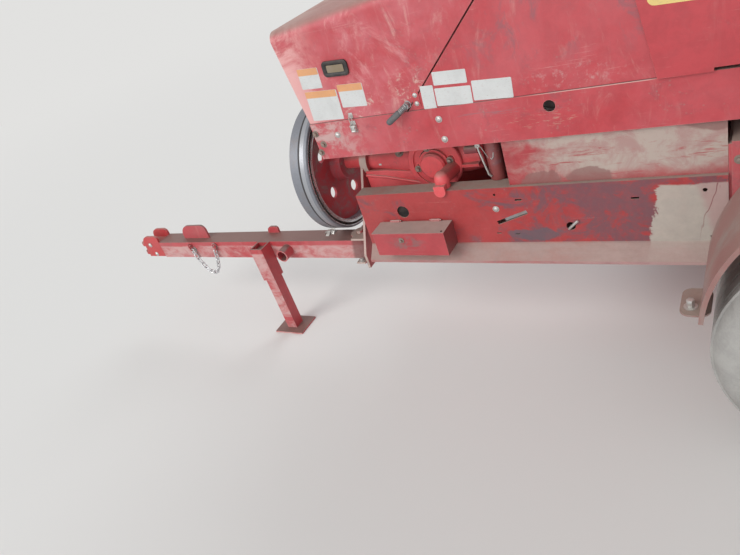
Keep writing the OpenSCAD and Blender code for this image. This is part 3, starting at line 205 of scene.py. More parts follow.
class Shader:
    """One material being built from nodes."""

    def __init__(self, name, owner=None):
        self.material = owner or bpy.data.materials.new(name)
        self.material.use_nodes = True
        self.tree = self.material.node_tree
        self.tree.nodes.clear()

    def node(self, kind, options=None, values=None, output=0):
        """A new node with its options and input values, as one of its outputs."""
        made = self.tree.nodes.new(kind)
        for key, value in (options or {}).items():
            setattr(made, key, value)
        for key, value in (values or {}).items():
            socket = made.inputs[key]
            if isinstance(value, Socket):
                self.tree.links.new(value.socket, socket)
            else:
                socket.default_value = value
        return Socket(self, made.outputs[output]) if len(made.outputs) else made

    def place(self, stretch=(1, 1, 1), shift=(0, 0, 0), turn=(0, 0, 0)):
        """Object coordinates, turned, scaled along each axis and shifted."""
        where = self.node("ShaderNodeTexCoord", output="Object")
        return self.node("ShaderNodeMapping", values={
            "Vector": where, "Scale": stretch, "Location": shift, "Rotation": turn})

    def axes(self, vector):
        """The three numbers of a vector."""
        split = self.tree.nodes.new("ShaderNodeSeparateXYZ")
        self.tree.links.new(vector.socket, split.inputs[0])
        return [Socket(self, output) for output in split.outputs]

    def length(self, vector):
        """How long a vector is."""
        return self.node("ShaderNodeVectorMath", {"operation": "LENGTH"}, {0: vector}, output="Value")

    def machine(self):
        """Machine places as three numbers: from the left axle, the centre line and the floor."""
        return self.axes(self.place(shift=(-AXLE_X, -CENTRE_Y, 0)))

    def facing(self):
        """The surface's own direction as three numbers, turning with its body."""
        return self.axes(self.node("ShaderNodeTexCoord", output="Normal"))

    def flank(self):
        """1 on faces that look to either side."""
        sideways = self.facing()[1]
        return (sideways * sideways).within(0.4, 0.7)

    def noise(self, vector, scale, detail=4.0, rough=0.55, twist=0.0):
        """Cloudy noise from 0 to 1, most of it near a half."""
        return self.node("ShaderNodeTexNoise", values={
            "Vector": vector, "Scale": scale, "Detail": detail, "Roughness": rough, "Distortion": twist})

    def spots(self, vector, scale, size):
        """Small round spots, 1 at their middles."""
        far = self.node("ShaderNodeTexVoronoi", values={"Vector": vector, "Scale": scale}, output="Distance")
        return 1 - far.within(size * 0.6, size)

    def blot(self, x, z, spot):
        """A soft ellipse in side view: its middle's x and z and its two half widths."""
        middle_x, middle_z, wide, tall = spot
        offset = self.node("ShaderNodeCombineXYZ", values={
            "X": (x - middle_x) * (1 / wide), "Y": (z - middle_z) * (1 / tall)})
        return 1 - self.length(offset).within(0.35, 1.0)

    def edges(self, radius):
        """1 on sharp outer and inner edges, 0 on flat faces."""
        soft = self.node("ShaderNodeBevel", {"samples": 4}, {"Radius": radius})
        hard = self.node("ShaderNodeNewGeometry", output="Normal")
        alike = {"operation": "DOT_PRODUCT"}
        return 1 - self.node("ShaderNodeVectorMath", alike, {0: soft, 1: hard}, output="Value")

    def seen(self):
        """1 for what the camera sees straight, mirrored or through glass."""
        straight, mirrored, through = [
            self.node("ShaderNodeLightPath", output=kind)
            for kind in ("Is Camera Ray", "Is Glossy Ray", "Is Transmission Ray")]
        return straight.most(mirrored).most(through)

    def mix(self, mask, first, second):
        """Colour first where the mask is 0 and second where it is 1."""
        first, second = [
            value if isinstance(value, Socket) else (*value, 1.0) for value in (first, second)]
        return self.node("ShaderNodeMix", {"data_type": "RGBA"}, {0: mask, 6: first, 7: second}, output=2)

    def finish(self, colour, roughness, metallic=0.0, bump=None, depth=0.001):
        """Ends the material with its surface; bump is a height and depth how deep it goes."""
        values = {"Base Color": colour, "Roughness": roughness, "Metallic": metallic}
        if bump is not None:
            relief = {"Height": bump, "Distance": depth, "Strength": 1.0}
            values["Normal"] = self.node("ShaderNodeBump", values=relief)
        surface = self.node("ShaderNodeBsdfPrincipled", values=values)
        self.node("ShaderNodeOutputMaterial", values={"Surface": surface})
        return self.material


def shaded(colour, factor):
    """The colour made darker or brighter by the factor."""
    return [part * factor for part in colour]


# Width of the worn band along sharp edges, and its bare tone
WORN_BAND = 0.004
WORN_EDGE = (0.60, 0.40, 0.36)


def aged_paint(name, base, fade=0.5, smear=0.5, film=0.25, settle=1.0, patches=None, wear=0.6, splash=0.4):
    """Sprayed paint that has faded, picked up grease and gathered hay dust on top.

    patches adds areas of its own: it takes the shader and gives pairs of a mask and a colour."""
    paint = settings().paint
    s = Shader(name)
    p = s.place()
    cloud = s.noise(p, 1.2, 5, 0.62, 0.9)
    broad = s.noise(p, 4.2, 6, 0.66, 0.6)
    mottled = s.noise(p, 17, 6, 0.7, 0.3)
    fine = s.noise(p, 75, 4, 0.65)
    grain = s.noise(p, 460, 2, 0.5)
    smudge = s.noise(s.place((1, 1, 1.7), (3, 1, 2)), 5.5, 8, 0.74, 0.8)
    wiped = s.noise(s.place((5, 5, 1.3), turn=(0, 0.8, 0)), 2.6, 7, 0.72, 1.2)
    scratch = s.noise(s.place((2.5, 2.5, 95), turn=(0, -0.35, 0)), 1.5, 5, 0.75, 0.4)

    # Sun: mottled, pale and chalky
    shade = s.mix(mottled.within(0.35, 0.65), base, shaded(base, 0.86))
    pale = (cloud.within(0.34, 0.66) * 0.72 + broad.within(0.44, 0.72) * 0.45) * fade
    colour = s.mix(pale.least(0.92), shade, paint.faded)
    chalky = wiped.within(0.52, 0.74) * mottled.within(0.34, 0.62) * fade
    colour = s.mix(chalky * 0.75, colour, paint.bleached)

    # Use: grease, rubbed streaks, bare edges and splashes
    greasy = smudge.within(0.54, 0.68) * mottled.within(0.36, 0.58) * smear
    colour = s.mix(greasy * 0.85, colour, paint.grime)
    rubbed = scratch.within(0.60, 0.68) * broad.within(0.46, 0.60) * wear
    colour = s.mix(rubbed * 0.45, colour, paint.bleached)
    worn = s.edges(WORN_BAND).within(0.04, 0.30) * broad.within(0.38, 0.55) * wear
    colour = s.mix(worn * 0.8, colour, WORN_EDGE)
    flecks = s.spots(p, 70, 0.30) * smudge.within(0.50, 0.66) * splash
    colour = s.mix(flecks * 0.6, colour, paint.dust)
    for mask, tone in (patches(s) if patches else []):
        colour = s.mix(mask, colour, tone)

    # Dust: thick on what faces up, a thin film elsewhere
    upward = s.facing()[2]
    loose = upward.within(0.35, 0.9) * (broad.within(0.30, 0.46) * 0.30 + 0.66) * settle
    veil = (fine.within(0.40, 0.75) * 0.4 + cloud.within(0.25, 0.75) * 0.6) * film
    dusted = loose.most(veil * 0.7).least(0.96)
    colour = s.mix(dusted, colour, s.mix(fine, shaded(paint.dust, 0.80), shaded(paint.dust, 1.14)))
    rough = pale * 0.18 + dusted * 0.42 + greasy * 0.10 + 0.38
    bump = fine * 0.22 + grain * 0.12 + dusted * grain * 0.6 + broad * 0.4
    return s.finish(colour, rough.least(0.95), bump=bump, depth=0.0011)


# Painted shadow in the seam where hood and shields stand on the channel: its lower and upper height, and its
# tone
SEAM_HEIGHTS = (1.1062, 1.1085)
SEAM_SHADOW = (0.13, 0.03, 0.035)


def foot_seam_shadow(s, z):
    """Painted shadow in the seam along the foot of hood and shields."""
    return (1 - z.within(*SEAM_HEIGHTS)) * s.flank() * 0.85, SEAM_SHADOW


def caked_panel(s):
    """Pale caked dust over the rear of the inner panels, with brown scallops at its lower edge."""
    x, _, z = s.machine()
    brown, scalloped = (0.41, 0.27, 0.245), (0.24, 0.115, 0.105)
    ragged = s.noise(s.place((1, 1, 1.6)), 7, 6, 0.66, 0.8) - 0.5
    lengthways = (x + ragged * 0.55).within(-1.08, -0.84)
    fades = (z + ragged * 0.10).within(0.772, 0.822) * 0.8 + 0.2
    strokes = 1 - s.noise(s.place((3, 3, 22), turn=(0, 0.42, 0)), 2.2, 7, 0.75, 0.5).within(0.54, 0.66) * 0.8
    patchy = s.noise(s.place(), 9, 6, 0.72, 0.5).within(0.42, 0.62)
    bent_x, bent_z = x + ragged * 0.14, z + ragged * 0.05
    scallop = s.blot(bent_x, bent_z, (-0.955, 0.784, 0.080, 0.038))
    scallops = scallop.most(s.blot(bent_x, bent_z, (-0.785, 0.786, 0.090, 0.042))).within(0.0, 0.20)
    corner = s.blot(bent_x, bent_z, (-0.40, 0.96, 0.12, 0.050)).within(0.0, 0.25)
    return [
        (lengthways * fades * strokes * 0.92, s.mix(patchy, settings().paint.chalk, brown)),
        (scallops.most(corner) * 0.75, scalloped),
    ]


def caked_beam(s):
    """Grey smears and a pale caked rear end on the left beam, dust along its lower lip."""
    x, y, z = s.machine()
    smear_grey, smear_blue, crack_red = (0.155, 0.066, 0.084), (0.11, 0.085, 0.105), (0.20, 0.035, 0.045)
    cream, cream_shade = (0.54, 0.49, 0.42), (0.36, 0.31, 0.28)
    pink, pink_shade = (0.50, 0.30, 0.28), (0.34, 0.20, 0.20)
    ragged = s.noise(s.place(), 8, 7, 0.7, 0.6) - 0.5
    smeared = s.noise(s.place((1, 1, 1.5), (2, 0, 1)), 5.5, 8, 0.76, 0.7)
    along = x.within(-1.25, -0.80) * 0.135
    broken = s.noise(s.place(), 21, 6, 0.72).within(0.30, 0.60) * 0.35 + 0.55
    grey = (smeared + along).within(0.57, 0.68) * broken
    blue = s.blot(x + ragged * 0.2, z + ragged * 0.12, (-1.02, 0.565, 0.14, 0.035)).within(0.1, 0.5)
    outside = 1 - y.within(0.0, 0.01) * 0.7
    behind = (x + ragged * 0.13 - z * 0.15).within(-0.690, -0.682)
    rear = behind * (1 - (z + ragged * 0.03).within(0.742, 0.750))
    rosy = (x + ragged * 0.05 + z * 0.22).within(-0.305, -0.275)
    crack = s.noise(s.place((1, 1, 0.25), (0.3, 0, 0)), 9, 3, 0.5) - 0.5
    line = (1 - (crack * crack).within(0.0, 0.00007)) * x.within(-0.47, -0.42)
    foot = 1 - (z + ragged * 0.012).within(0.522, 0.530)
    lip = foot * (s.noise(s.place((1, 1, 4)), 8, 6, 0.7).within(0.30, 0.62) * 0.5 + 0.45)
    creamy = s.mix(s.noise(s.place(), 26, 5, 0.65), cream, cream_shade)
    pinkish = s.mix(s.noise(s.place(), 14, 6, 0.7), pink, pink_shade)
    return [
        (grey * outside, smear_grey),
        (blue * 0.8 * outside, smear_blue),
        (rear * 0.95 * outside, creamy),
        (rear * rosy * 0.7 * outside, pinkish),
        (rear * line * 0.8, crack_red),
        (lip, pinkish),
    ]


def handled_hood(s):
    """Pale spatter round the latch and the lever, bleached front edge and a painted shadow in the seam at its
    foot.
    """
    x, _, z = s.machine()
    flank = s.flank()
    spatter = s.noise(s.place((1, 1, 1.3)), 30, 6, 0.75, 0.4).within(0.52, 0.64)
    round_latch = s.blot(x, z, (-1.585, 1.155, 0.13, 0.11))
    round_parts = round_latch.most(s.blot(x, z, (-1.37, 1.19, 0.12, 0.10)))
    front = 1 - x.within(-1.87, -1.66)
    clouds = s.noise(s.place((1, 1, 0.7), (7, 0, 0)), 5, 7, 0.74, 0.9)
    blotchy = clouds.within(0.53, 0.66) * flank
    deep = (1 - clouds.within(0.34, 0.46)) * flank
    worn = s.noise(s.place(), 6, 6, 0.7, 0.5).within(0.34, 0.56)
    return [
        (deep * 0.55, (0.50, 0.060, 0.075)),
        (blotchy * 0.45, (0.72, 0.36, 0.36)),
        (front * worn * 0.85, (0.80, 0.46, 0.44)),
        (round_parts * spatter * flank * 0.75, (0.62, 0.45, 0.39)),
        # Painted shadow in the seam at the hood's foot
        foot_seam_shadow(s, z),
    ]


def shield_marks(s):
    """Grey smudges high on the shields, pale haze at their rear and a painted shadow in the seam at their
    foot.
    """
    x, _, z = s.machine()
    smudge = s.noise(s.place((1.2, 1, 0.8), (1, 0, 4)), 8, 8, 0.72, 0.6).within(0.50, 0.62)
    high_up = z.within(1.16, 1.30) * x.within(-1.25, -1.0)
    haze = s.noise(s.place(), 40, 5, 0.75).within(0.50, 0.70) * s.blot(x, z, (-0.80, 1.15, 0.22, 0.06))
    return [
        (smudge * high_up * s.flank() * 0.62, (0.25, 0.105, 0.125)),
        (haze * 0.6, (0.55, 0.34, 0.33)),
        # Painted shadow in the seam at the shields' foot
        foot_seam_shadow(s, z),
    ]


def channel_marks(s):
    """Dusty front end, grey scuffs along the middle and a painted highlight along the upper edge."""
    x, _, z = s.machine()
    cloudy = s.noise(s.place(), 10, 6, 0.72, 0.5).within(0.42, 0.58)
    front = (1 - x.within(-1.80, -1.52)) * cloudy
    scuff = s.noise(s.place((0.35, 1, 2.6), (5, 0, 2)), 8, 8, 0.74, 0.3).within(0.53, 0.63)
    middle_part = s.blot(x, z, (-1.02, 1.045, 0.34, 0.045))
    streaks = s.noise(s.place((1.5, 1, 7)), 14, 6, 0.75, 0.4).within(0.54, 0.66)
    tan = streaks * s.blot(x, z, (-0.92, 1.02, 0.20, 0.045))
    # Painted highlight along the upper edge of the channel, below the hood's foot
    edge = z.within(1.1018, 1.1032)
    pale = x.within(-1.02, -0.84) * (1 - x.within(-0.58, -0.54)) * edge
    return [
        (front * 0.80, (0.56, 0.42, 0.40)),
        (scuff * middle_part * 0.8, (0.29, 0.145, 0.16)),
        (tan * 0.65, (0.47, 0.34, 0.26)),
        (pale * 0.8, (0.72, 0.46, 0.42)),
    ]


def pale_edge(s):
    """Dusty cut edges of a thick plate that stands across the machine."""
    _, sideways, _ = s.facing()
    return [((0 - sideways).within(0.75, 0.9) * 0.85, shaded(settings().paint.chalk, 1.15))]


def tongue_marks(s):
    """Brown grime on top, whitish dust low on the sides and painted shade towards the rear end."""
    x, _, z = s.machine()
    cloudy = s.noise(s.place((0.6, 1, 1)), 12, 7, 0.72, 0.5)
    below = 1 - (z + (cloudy - 0.5) * 0.05).within(0.488, 0.496)
    top = s.facing()[2].within(0.5, 0.9)
    # Painted shade on the tongue's rear end
    rear = (x - z * 0.2).within(-2.005, -1.985)
    return [
        (s.flank() * below * cloudy.within(0.36, 0.62) * 0.85, (0.60, 0.385, 0.37)),
        (top * 0.92, s.mix(cloudy, (0.115, 0.050, 0.044), (0.185, 0.115, 0.098))),
        (rear * 0.75, (0.13, 0.04, 0.04)),
    ]


def box_marks(s):
    """Grease in the middle of the toolbox's front, painted shade on its rear end and a caked lid."""
    x, _, z = s.machine()
    endwise, sideways, upward = s.facing()
    grease = s.noise(s.place((1, 1, 1.6)), 16, 7, 0.72, 0.6).within(0.46, 0.60)
    middle_part = s.blot(x, z, (-1.51, 0.59, 0.11, 0.05)) * (0 - sideways).within(0.5, 0.9)
    caked = s.mix(s.noise(s.place(), 30, 5, 0.7), (0.34, 0.280, 0.250), (0.47, 0.405, 0.365))
    return [
        (grease * middle_part * 0.8, (0.23, 0.115, 0.115)),
        # Painted shade on the end that faces the rear
        (endwise.within(0.5, 0.9) * 0.70, (0.14, 0.045, 0.045)),
        (upward.within(0.5, 0.9) * 0.95, caked),
    ]


def fender_dust(s):
    """Brown dust all over the fender, thinner where the tyre's spray has washed it."""
    washed = s.noise(s.place((1, 1, 0.4)), 7, 6, 0.7, 0.5).within(0.40, 0.70)
    return [(washed * 0.24 + 0.70, s.mix(washed, (0.215, 0.178, 0.155), (0.29, 0.258, 0.232)))]


def wheel_paint(name):
    """Flywheel: grey machined rim round a dull red dish with dust in its hollows; on the rim's outside, a
    painted shadow in a groove and a lighter band of turned steel with a painted highlight.
    """
    paint = settings().paint
    s = Shader(name)
    x, y, z = s.machine()
    radius = s.length(s.node("ShaderNodeCombineXYZ", values={"Y": y, "Z": z - middle("flywheel").z}))
    p = s.place()
    broad = s.noise(p, 9, 6, 0.7, 0.6)
    fine = s.noise(p, 120, 4, 0.65)
    dish = s.mix(broad.within(0.42, 0.60), shaded(paint.red, 1.05), shaded(paint.faded, 0.58))
    dish = s.mix(broad.within(0.54, 0.66) * 0.8, dish, shaded(paint.dust, 0.95))
    steel = s.mix(fine, (0.185, 0.195, 0.222), (0.27, 0.282, 0.315))
    steel = s.mix(broad.within(0.50, 0.72) * 0.4, steel, shaded(paint.dust, 0.8))
    rim = radius.within(0.258, 0.263)
    # Turned steps on the outside of the rim, towards its rear edge, painted on: a painted shadow in the
    # groove, and a band of lighter turned steel that also carries a painted highlight
    outside = radius.within(0.3005, 0.3010)
    step = x.within(-1.9575, -1.9565)
    groove = x.within(-1.9665, -1.9655) * (1 - step) * outside
    bright = step * (1 - x.within(-1.9365, -1.9355)) * outside
    steel = s.mix(bright * 0.55, steel, (0.50, 0.51, 0.54))
    steel = s.mix(groove * 0.9, steel, (0.05, 0.045, 0.045))
    rough = 0.62 - rim * 0.16 - bright * 0.10 + groove * 0.3
    metal = rim * 0.35 + bright * 0.3
    return s.finish(s.mix(rim, dish, steel), rough, metal, fine * 0.3 + broad * 0.5, 0.0006)


RUST = (0.16, 0.07, 0.035)


def bright_metal(name, tone, rough, dusty, rust=0.0):
    """Bare or plated steel with dust in patches and on top, and rust in its clouds."""
    s = Shader(name)
    p = s.place()
    brushed = s.noise(s.place((60, 60, 220)), 3, 3, 0.6)
    cloud = s.noise(p, 16, 5, 0.6, 0.3)
    rusted = cloud.within(0.5, 0.7)
    colour = s.mix(brushed, shaded(tone, 0.85), tone)
    colour = s.mix(rusted * rust, colour, RUST)
    upward = s.facing()[2].within(0.4, 0.95)
    mask = (cloud.within(0.42, 0.66) * dusty).most(upward * dusty * 0.9)
    colour = s.mix(mask, colour, settings().paint.dust)
    metal = (1 - mask * 0.9 - rusted * (rust * 0.8)) * 0.9
    relief = brushed * 0.3 + cloud * 0.4
    return s.finish(colour, mask * 0.5 + rough + brushed * 0.08, metal.most(0.0), relief, 0.0005)


def dull_rubber(name):
    """Tyre rubber, grey with the dust that lies over it."""
    s = Shader(name)
    p = s.place()
    cloud = s.noise(p, 5, 5, 0.6, 0.4)
    fine = s.noise(p, 140, 3, 0.6)
    colour = s.mix(fine, (0.055, 0.053, 0.05), (0.105, 0.10, 0.094))
    caked = (cloud.within(0.20, 0.60) * 0.35 + fine * 0.25 + 0.40) * 0.9
    colour = s.mix(caked.least(0.95), colour, (0.47, 0.46, 0.44))
    return s.finish(colour, caked * 0.25 + 0.68, bump=fine * 0.4 + cloud * 0.4, depth=0.0015)


def plain_finish(name, tone, rough, dusty=0.15):
    """One tone with a little dust."""
    s = Shader(name)
    p = s.place()
    cloud = s.noise(p, 22, 4, 0.6, 0.2)
    fine = s.noise(p, 300, 2, 0.5)
    colour = s.mix(cloud.within(0.4, 0.7) * dusty, tone, settings().paint.dust)
    return s.finish(colour, cloud * 0.18 + rough, bump=fine * 0.3 + cloud * 0.2, depth=0.0006)


def blank_plate(name, tone):
    """Printed vinyl with no print left on it: pale, a little yellowed and scuffed."""
    s = Shader(name)
    cloud = s.noise(s.place(), 14, 5, 0.6, 0.3)
    rubbed = s.noise(s.place((26, 26, 90)), 3, 5, 0.7).within(0.56, 0.68)
    colour = s.mix(cloud.within(0.35, 0.75) * 0.5, tone, shaded(tone, 0.80))
    colour = s.mix(rubbed * 0.5, colour, (0.42, 0.30, 0.27))
    return s.finish(colour, rubbed * 0.2 + 0.42)


MATERIALS = {}


def paints():
    """The reds: name, tone and how each has aged."""
    red, cast = settings().paint.red, settings().paint.cast_red
    return [
        ("sheet_red", red, dict(fade=0.42, smear=0.35, film=0.10, wear=0.8, patches=shield_marks)),
        ("hood_red", red, dict(fade=0.85, smear=0.35, film=0.12, settle=0.75, splash=0.6,
                               patches=handled_hood)),
        ("frame_red", red, dict(fade=0.30, smear=0.65, film=0.35)),
        ("strip_red", red, dict(fade=0.42, smear=0.45, film=0.08, splash=0.7, patches=channel_marks)),
        ("gusset_red", red, dict(fade=0.20, smear=0.9, film=0.45, patches=pale_edge)),
        ("tongue_red", red, dict(fade=0.30, smear=0.5, film=0.30, settle=0.15, patches=tongue_marks)),
        ("beam_red", shaded(cast, 0.76), dict(fade=0.08, smear=0.7, film=0.14, wear=0.4, patches=caked_beam)),
        ("panel_red", shaded(red, 0.80), dict(fade=0.08, smear=0.3, film=0.15, patches=caked_panel)),
        ("cast_red", cast, dict(fade=0.16, smear=0.35, film=0.10, settle=0.6)),
        ("box_red", shaded(red, 0.9), dict(fade=0.12, smear=0.6, film=0.10, settle=0.1, patches=box_marks)),
        ("rear_red", red, dict(fade=0.13, smear=0.12, film=0.05, settle=0.8, splash=0.1)),
        ("fender_red", red, dict(fade=0.3, smear=0.3, film=0.3, patches=fender_dust)),
        ("wheel_red", red, dict(fade=0.3, smear=0.6, film=0.8)),
        # The gearbox's red: cast red made brighter, painted light that makes up for the shade under the hood
        ("gear_red_painted_light", (0.80, 0.080, 0.088), dict(fade=0.24, smear=0.35, film=0.10, settle=0.6)),
        # Dark red of the tube behind the gearbox: its dark tone is painted shade, with grease smears over it
        ("grime_and_shade_red", (0.26, 0.045, 0.045), dict(fade=0.1, smear=1.0, film=0.3)),
    ]


# Steels: tone, roughness, dust and rust
STEELS = {
    "worn_steel": ((0.42, 0.42, 0.43), 0.38, 0.45, 0.30),
    "bright_steel": ((0.72, 0.73, 0.75), 0.22, 0.10),
    "hay_polished": ((0.62, 0.62, 0.62), 0.26, 0.30, 0.15),
    "rusty_steel": ((0.36, 0.30, 0.26), 0.5, 0.55, 0.9),
    "zinc": ((0.66, 0.66, 0.64), 0.34, 0.35),
    "silver_plate": ((0.80, 0.80, 0.78), 0.35, 0.1),
}
# Plain finishes: tone, roughness and dust
PLAIN = {
    "black": ((0.02, 0.02, 0.021), 0.45),
    "grip": ((0.10, 0.11, 0.12), 0.6, 0.3),
    "display": ((0.24, 0.19, 0.12), 0.3, 0.4),
    "dark": ((0.012, 0.010, 0.010), 0.8, 0.2),
}
PLATE_TONES = {
    "white_plate": (0.63, 0.645, 0.64),
    "orange_plate": (0.72, 0.36, 0.17),
    "yellow_plate": (0.78, 0.60, 0.22),
}


def make_materials():
    """Every material, by its name."""
    MATERIALS.update((name, aged_paint(name, tone, **age)) for name, tone, age in paints())
    MATERIALS.update((name, bright_metal(name, *values)) for name, values in STEELS.items())
    MATERIALS.update((name, plain_finish(name, *values)) for name, values in PLAIN.items())
    MATERIALS.update((name, blank_plate(name, tone)) for name, tone in PLATE_TONES.items())
    MATERIALS["flywheel"] = wheel_paint("flywheel")
    MATERIALS["rubber"] = dull_rubber("rubber")


# Modelling by hand: every function leaves one selected, active object

def deselect():
    """Object mode with nothing selected."""
    if bpy.context.mode != "OBJECT":
        bpy.ops.object.mode_set(mode="OBJECT")
    bpy.ops.object.select_all(action="DESELECT")


def activate(obj):
    """Makes the object the only selected one."""
    deselect()
    obj.select_set(True)
    bpy.context.view_layer.objects.active = obj
    return obj


def settle_transform(obj):
    """Leaves the object at the origin, unturned and unscaled."""
    activate(obj)
    bpy.ops.object.transform_apply(location=True, rotation=True, scale=True)
    return obj


def edit_all():
    """Starts an edit with everything selected."""
    bpy.ops.object.mode_set(mode="EDIT")
    bpy.ops.mesh.select_all(action="SELECT")


def turn_outwards():
    """Ends the edit of a closed shape with all its faces looking out."""
    bpy.ops.mesh.select_all(action="SELECT")
    bpy.ops.mesh.normals_make_consistent(inside=False)
    bpy.ops.object.mode_set(mode="OBJECT")


def rounded(obj, radius, angle=30, clamp=True):
    """Bevels the edges that are sharper than the angle; the clamp narrows all where some are short."""
    activate(obj)
    bevel = obj.modifiers.new("edge", "BEVEL")
    bevel.width, bevel.segments, bevel.limit_method = radius, 2, "ANGLE"
    bevel.use_clamp_overlap = clamp
    bevel.angle_limit = math.radians(angle)
    bpy.ops.object.modifier_apply(modifier=bevel.name)
    return obj


def smooth(obj, angle=35):
    """Smooth shading over the edges that are blunter than the angle."""
    activate(obj)
    bpy.ops.object.shade_smooth_by_angle(angle=math.radians(angle))
    return obj


def facing(direction, place, spin=0.0):
    """Matrix that stands a shape's +Z along the direction at the place."""
    turn = direction.to_track_quat("Z", "Y").to_matrix().to_4x4()
    return Matrix.Translation(place) @ turn @ Matrix.Rotation(spin, 4, "Z")


def block(start, end, radius=0.001):
    """A box between two machine places, with rounded edges."""
    deselect()
    a, b = at(*start), at(*end)
    bpy.ops.mesh.primitive_cube_add(size=1, location=(a + b) / 2)
    obj = bpy.context.object
    obj.scale = b - a
    return smooth(rounded(settle_transform(obj), radius))


def disc(direction, place, radius, depth, sides=32, edge=0.0):
    """A round bar or washer that stands on the place, along the direction."""
    deselect()
    bpy.ops.mesh.primitive_cylinder_add(
        vertices=sides, radius=radius, depth=depth, location=(0, 0, depth / 2))
    obj = settle_transform(bpy.context.object)
    if edge:
        rounded(obj, edge)
    obj.data.transform(facing(direction, place))
    return smooth(obj)


def outline(points, direction, place, thickness, up=UP, edge=0.0):
    """A flat plate: points are its corners across and up, seen against its direction."""
    deselect()
    bpy.ops.mesh.primitive_circle_add(vertices=len(points), radius=1, fill_type="NGON")
    obj = bpy.context.object
    across = up.cross(direction).normalized()
    for vertex, (u, v) in zip(obj.data.vertices, points):
        vertex.co = place + across * u + up * v
    edit_all()
    bpy.ops.mesh.extrude_region_move(TRANSFORM_OT_translate={"value": direction * thickness})
    turn_outwards()
    if edge:
        rounded(obj, edge)
    return smooth(obj)


def round_rectangle(width, height, radius, steps=4):
    """Corners of a rectangle with round corners, round its own middle."""
    corners = [(1, 1, 0), (-1, 1, 90), (-1, -1, 180), (1, -1, 270)]
    points = []
    for sx, sy, start in corners:
        for k in range(steps + 1):
            a = math.radians(start + 90 * k / steps)
            points.append((sx * (width / 2 - radius) + radius * math.cos(a),
                           sy * (height / 2 - radius) + radius * math.sin(a)))
    return points


def bent_line(points):
    """A line with straight runs between the points."""
    deselect()
    bpy.ops.curve.primitive_nurbs_path_add(radius=1)
    curve = bpy.context.object.data
    curve.dimensions = "3D"
    curve.splines.clear()
    spline = curve.splines.new("POLY")
    spline.points.add(len(points) - 1)
    for point, place in zip(spline.points, points):
        point.co = (*place, 1)
    return curve


def pipe(points, radius, sides=8):
    """A round bar or cord through the places."""
    curve = bent_line(points)
    curve.bevel_depth = radius
    curve.bevel_resolution = sides // 4 - 1
    curve.use_fill_caps = True
    bpy.ops.object.convert(target="MESH")
    return smooth(settle_transform(bpy.context.object), 50)


def revolve(profile, direction, place, steps):
    """A turned shape: profile holds radius and height along the direction."""
    bent_line([(radius, 0, height) for radius, height in profile])
    bpy.ops.object.convert(target="MESH")
    obj = settle_transform(bpy.context.object)
    edit_all()
    bpy.ops.mesh.spin(steps=steps, angle=math.tau, center=(0, 0, 0), axis=(0, 0, 1))
    bpy.ops.mesh.select_all(action="SELECT")
    bpy.ops.mesh.remove_doubles(threshold=1e-6)
    turn_outwards()
    obj.data.transform(facing(direction, place))
    return smooth(obj)


def coat(obj, material):
    """Gives the object one material in place of all that it had."""
    obj.data.materials.clear()
    obj.data.materials.append(MATERIALS[material])


def joined(parts):
    """All the parts as the first of them."""
    deselect()
    for part in parts:
        part.select_set(True)
    bpy.context.view_layer.objects.active = parts[0]
    if len(parts) > 1:
        bpy.ops.object.join()
    return bpy.context.object


def piece(name, parts, body, material):
    """Joins the parts into one named piece that rides on the body."""
    for part in parts:
        coat(part, material)
    obj = joined(parts)
    obj.name = obj.data.name = name
    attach(obj, body)
    return obj


def copies(model, matrices):
    """Copies of a small model, each with its own mesh, and the model is taken away."""
    made = []
    for matrix in matrices:
        mesh = model.data.copy()
        mesh.transform(matrix)
        obj = bpy.data.objects.new("copy", mesh)
        bpy.context.collection.objects.link(obj)
        made.append(obj)
    bpy.data.objects.remove(model)
    return made


def stand(model, places):
    """Copies of a small model at pairs of a machine place and the direction that it faces."""
    chance = random.Random(len(places) * 7 + 3)
    matrices = [facing(direction, at(*place), chance.uniform(0, math.tau)) for place, direction in places]
    return copies(model, matrices)


# A bolt as shares of its width over the flats: radius over the corners, rounding, washer radius and thickness
HEAD_RADIUS = 0.577
HEAD_EDGE = 0.06
WASHER_RADIUS = 0.95
WASHER_THICKNESS = 0.12
# A domed head and its washer as shares of the head's radius: radius and height
DOME = [(0, 0), (1.22, 0), (1.22, 0.12), (1.0, 0.14), (0.9, 0.36), (0.6, 0.54), (0.3, 0.62), (0, 0.64)]


def bolts(places, size, head=0.6):
    """Hexagon heads on their washers; size is the width over the flats, and head the height's share of it."""
    size = size * settings().hardware.heads
    base = size * WASHER_THICKNESS
    washer = disc(UP, Vector(), size * WASHER_RADIUS, base, 20)
    top = disc(UP, Vector((0, 0, base)), size * HEAD_RADIUS, size * head, 6, size * HEAD_EDGE)
    return stand(joined([top, washer]), places)


def domed_bolts(places, radius):
    """Carriage bolts: low domed heads on their washers."""
    radius = radius * settings().hardware.heads
    return stand(revolve([(r * radius, h * radius) for r, h in DOME], UP, Vector(), 20), places)


def press(obj, direction, rim, depth):
    """Insets the largest face that looks along the direction and sinks what lies inside the rim."""
    activate(obj)
    bpy.ops.object.mode_set(mode="EDIT")
    bpy.ops.mesh.select_mode(type="FACE")
    bpy.ops.mesh.select_all(action="DESELECT")
    bpy.ops.object.mode_set(mode="OBJECT")
    outer = [face for face in obj.data.polygons if face.normal.dot(direction) > 0.99]
    max(outer, key=lambda face: face.area).select = True
    bpy.ops.object.mode_set(mode="EDIT")
    bpy.ops.mesh.inset(thickness=rim, use_boundary=True)
    bpy.ops.mesh.inset(thickness=rim * 0.12, depth=-depth)
    bpy.ops.object.mode_set(mode="OBJECT")
    return obj


COIL_STEPS = 12


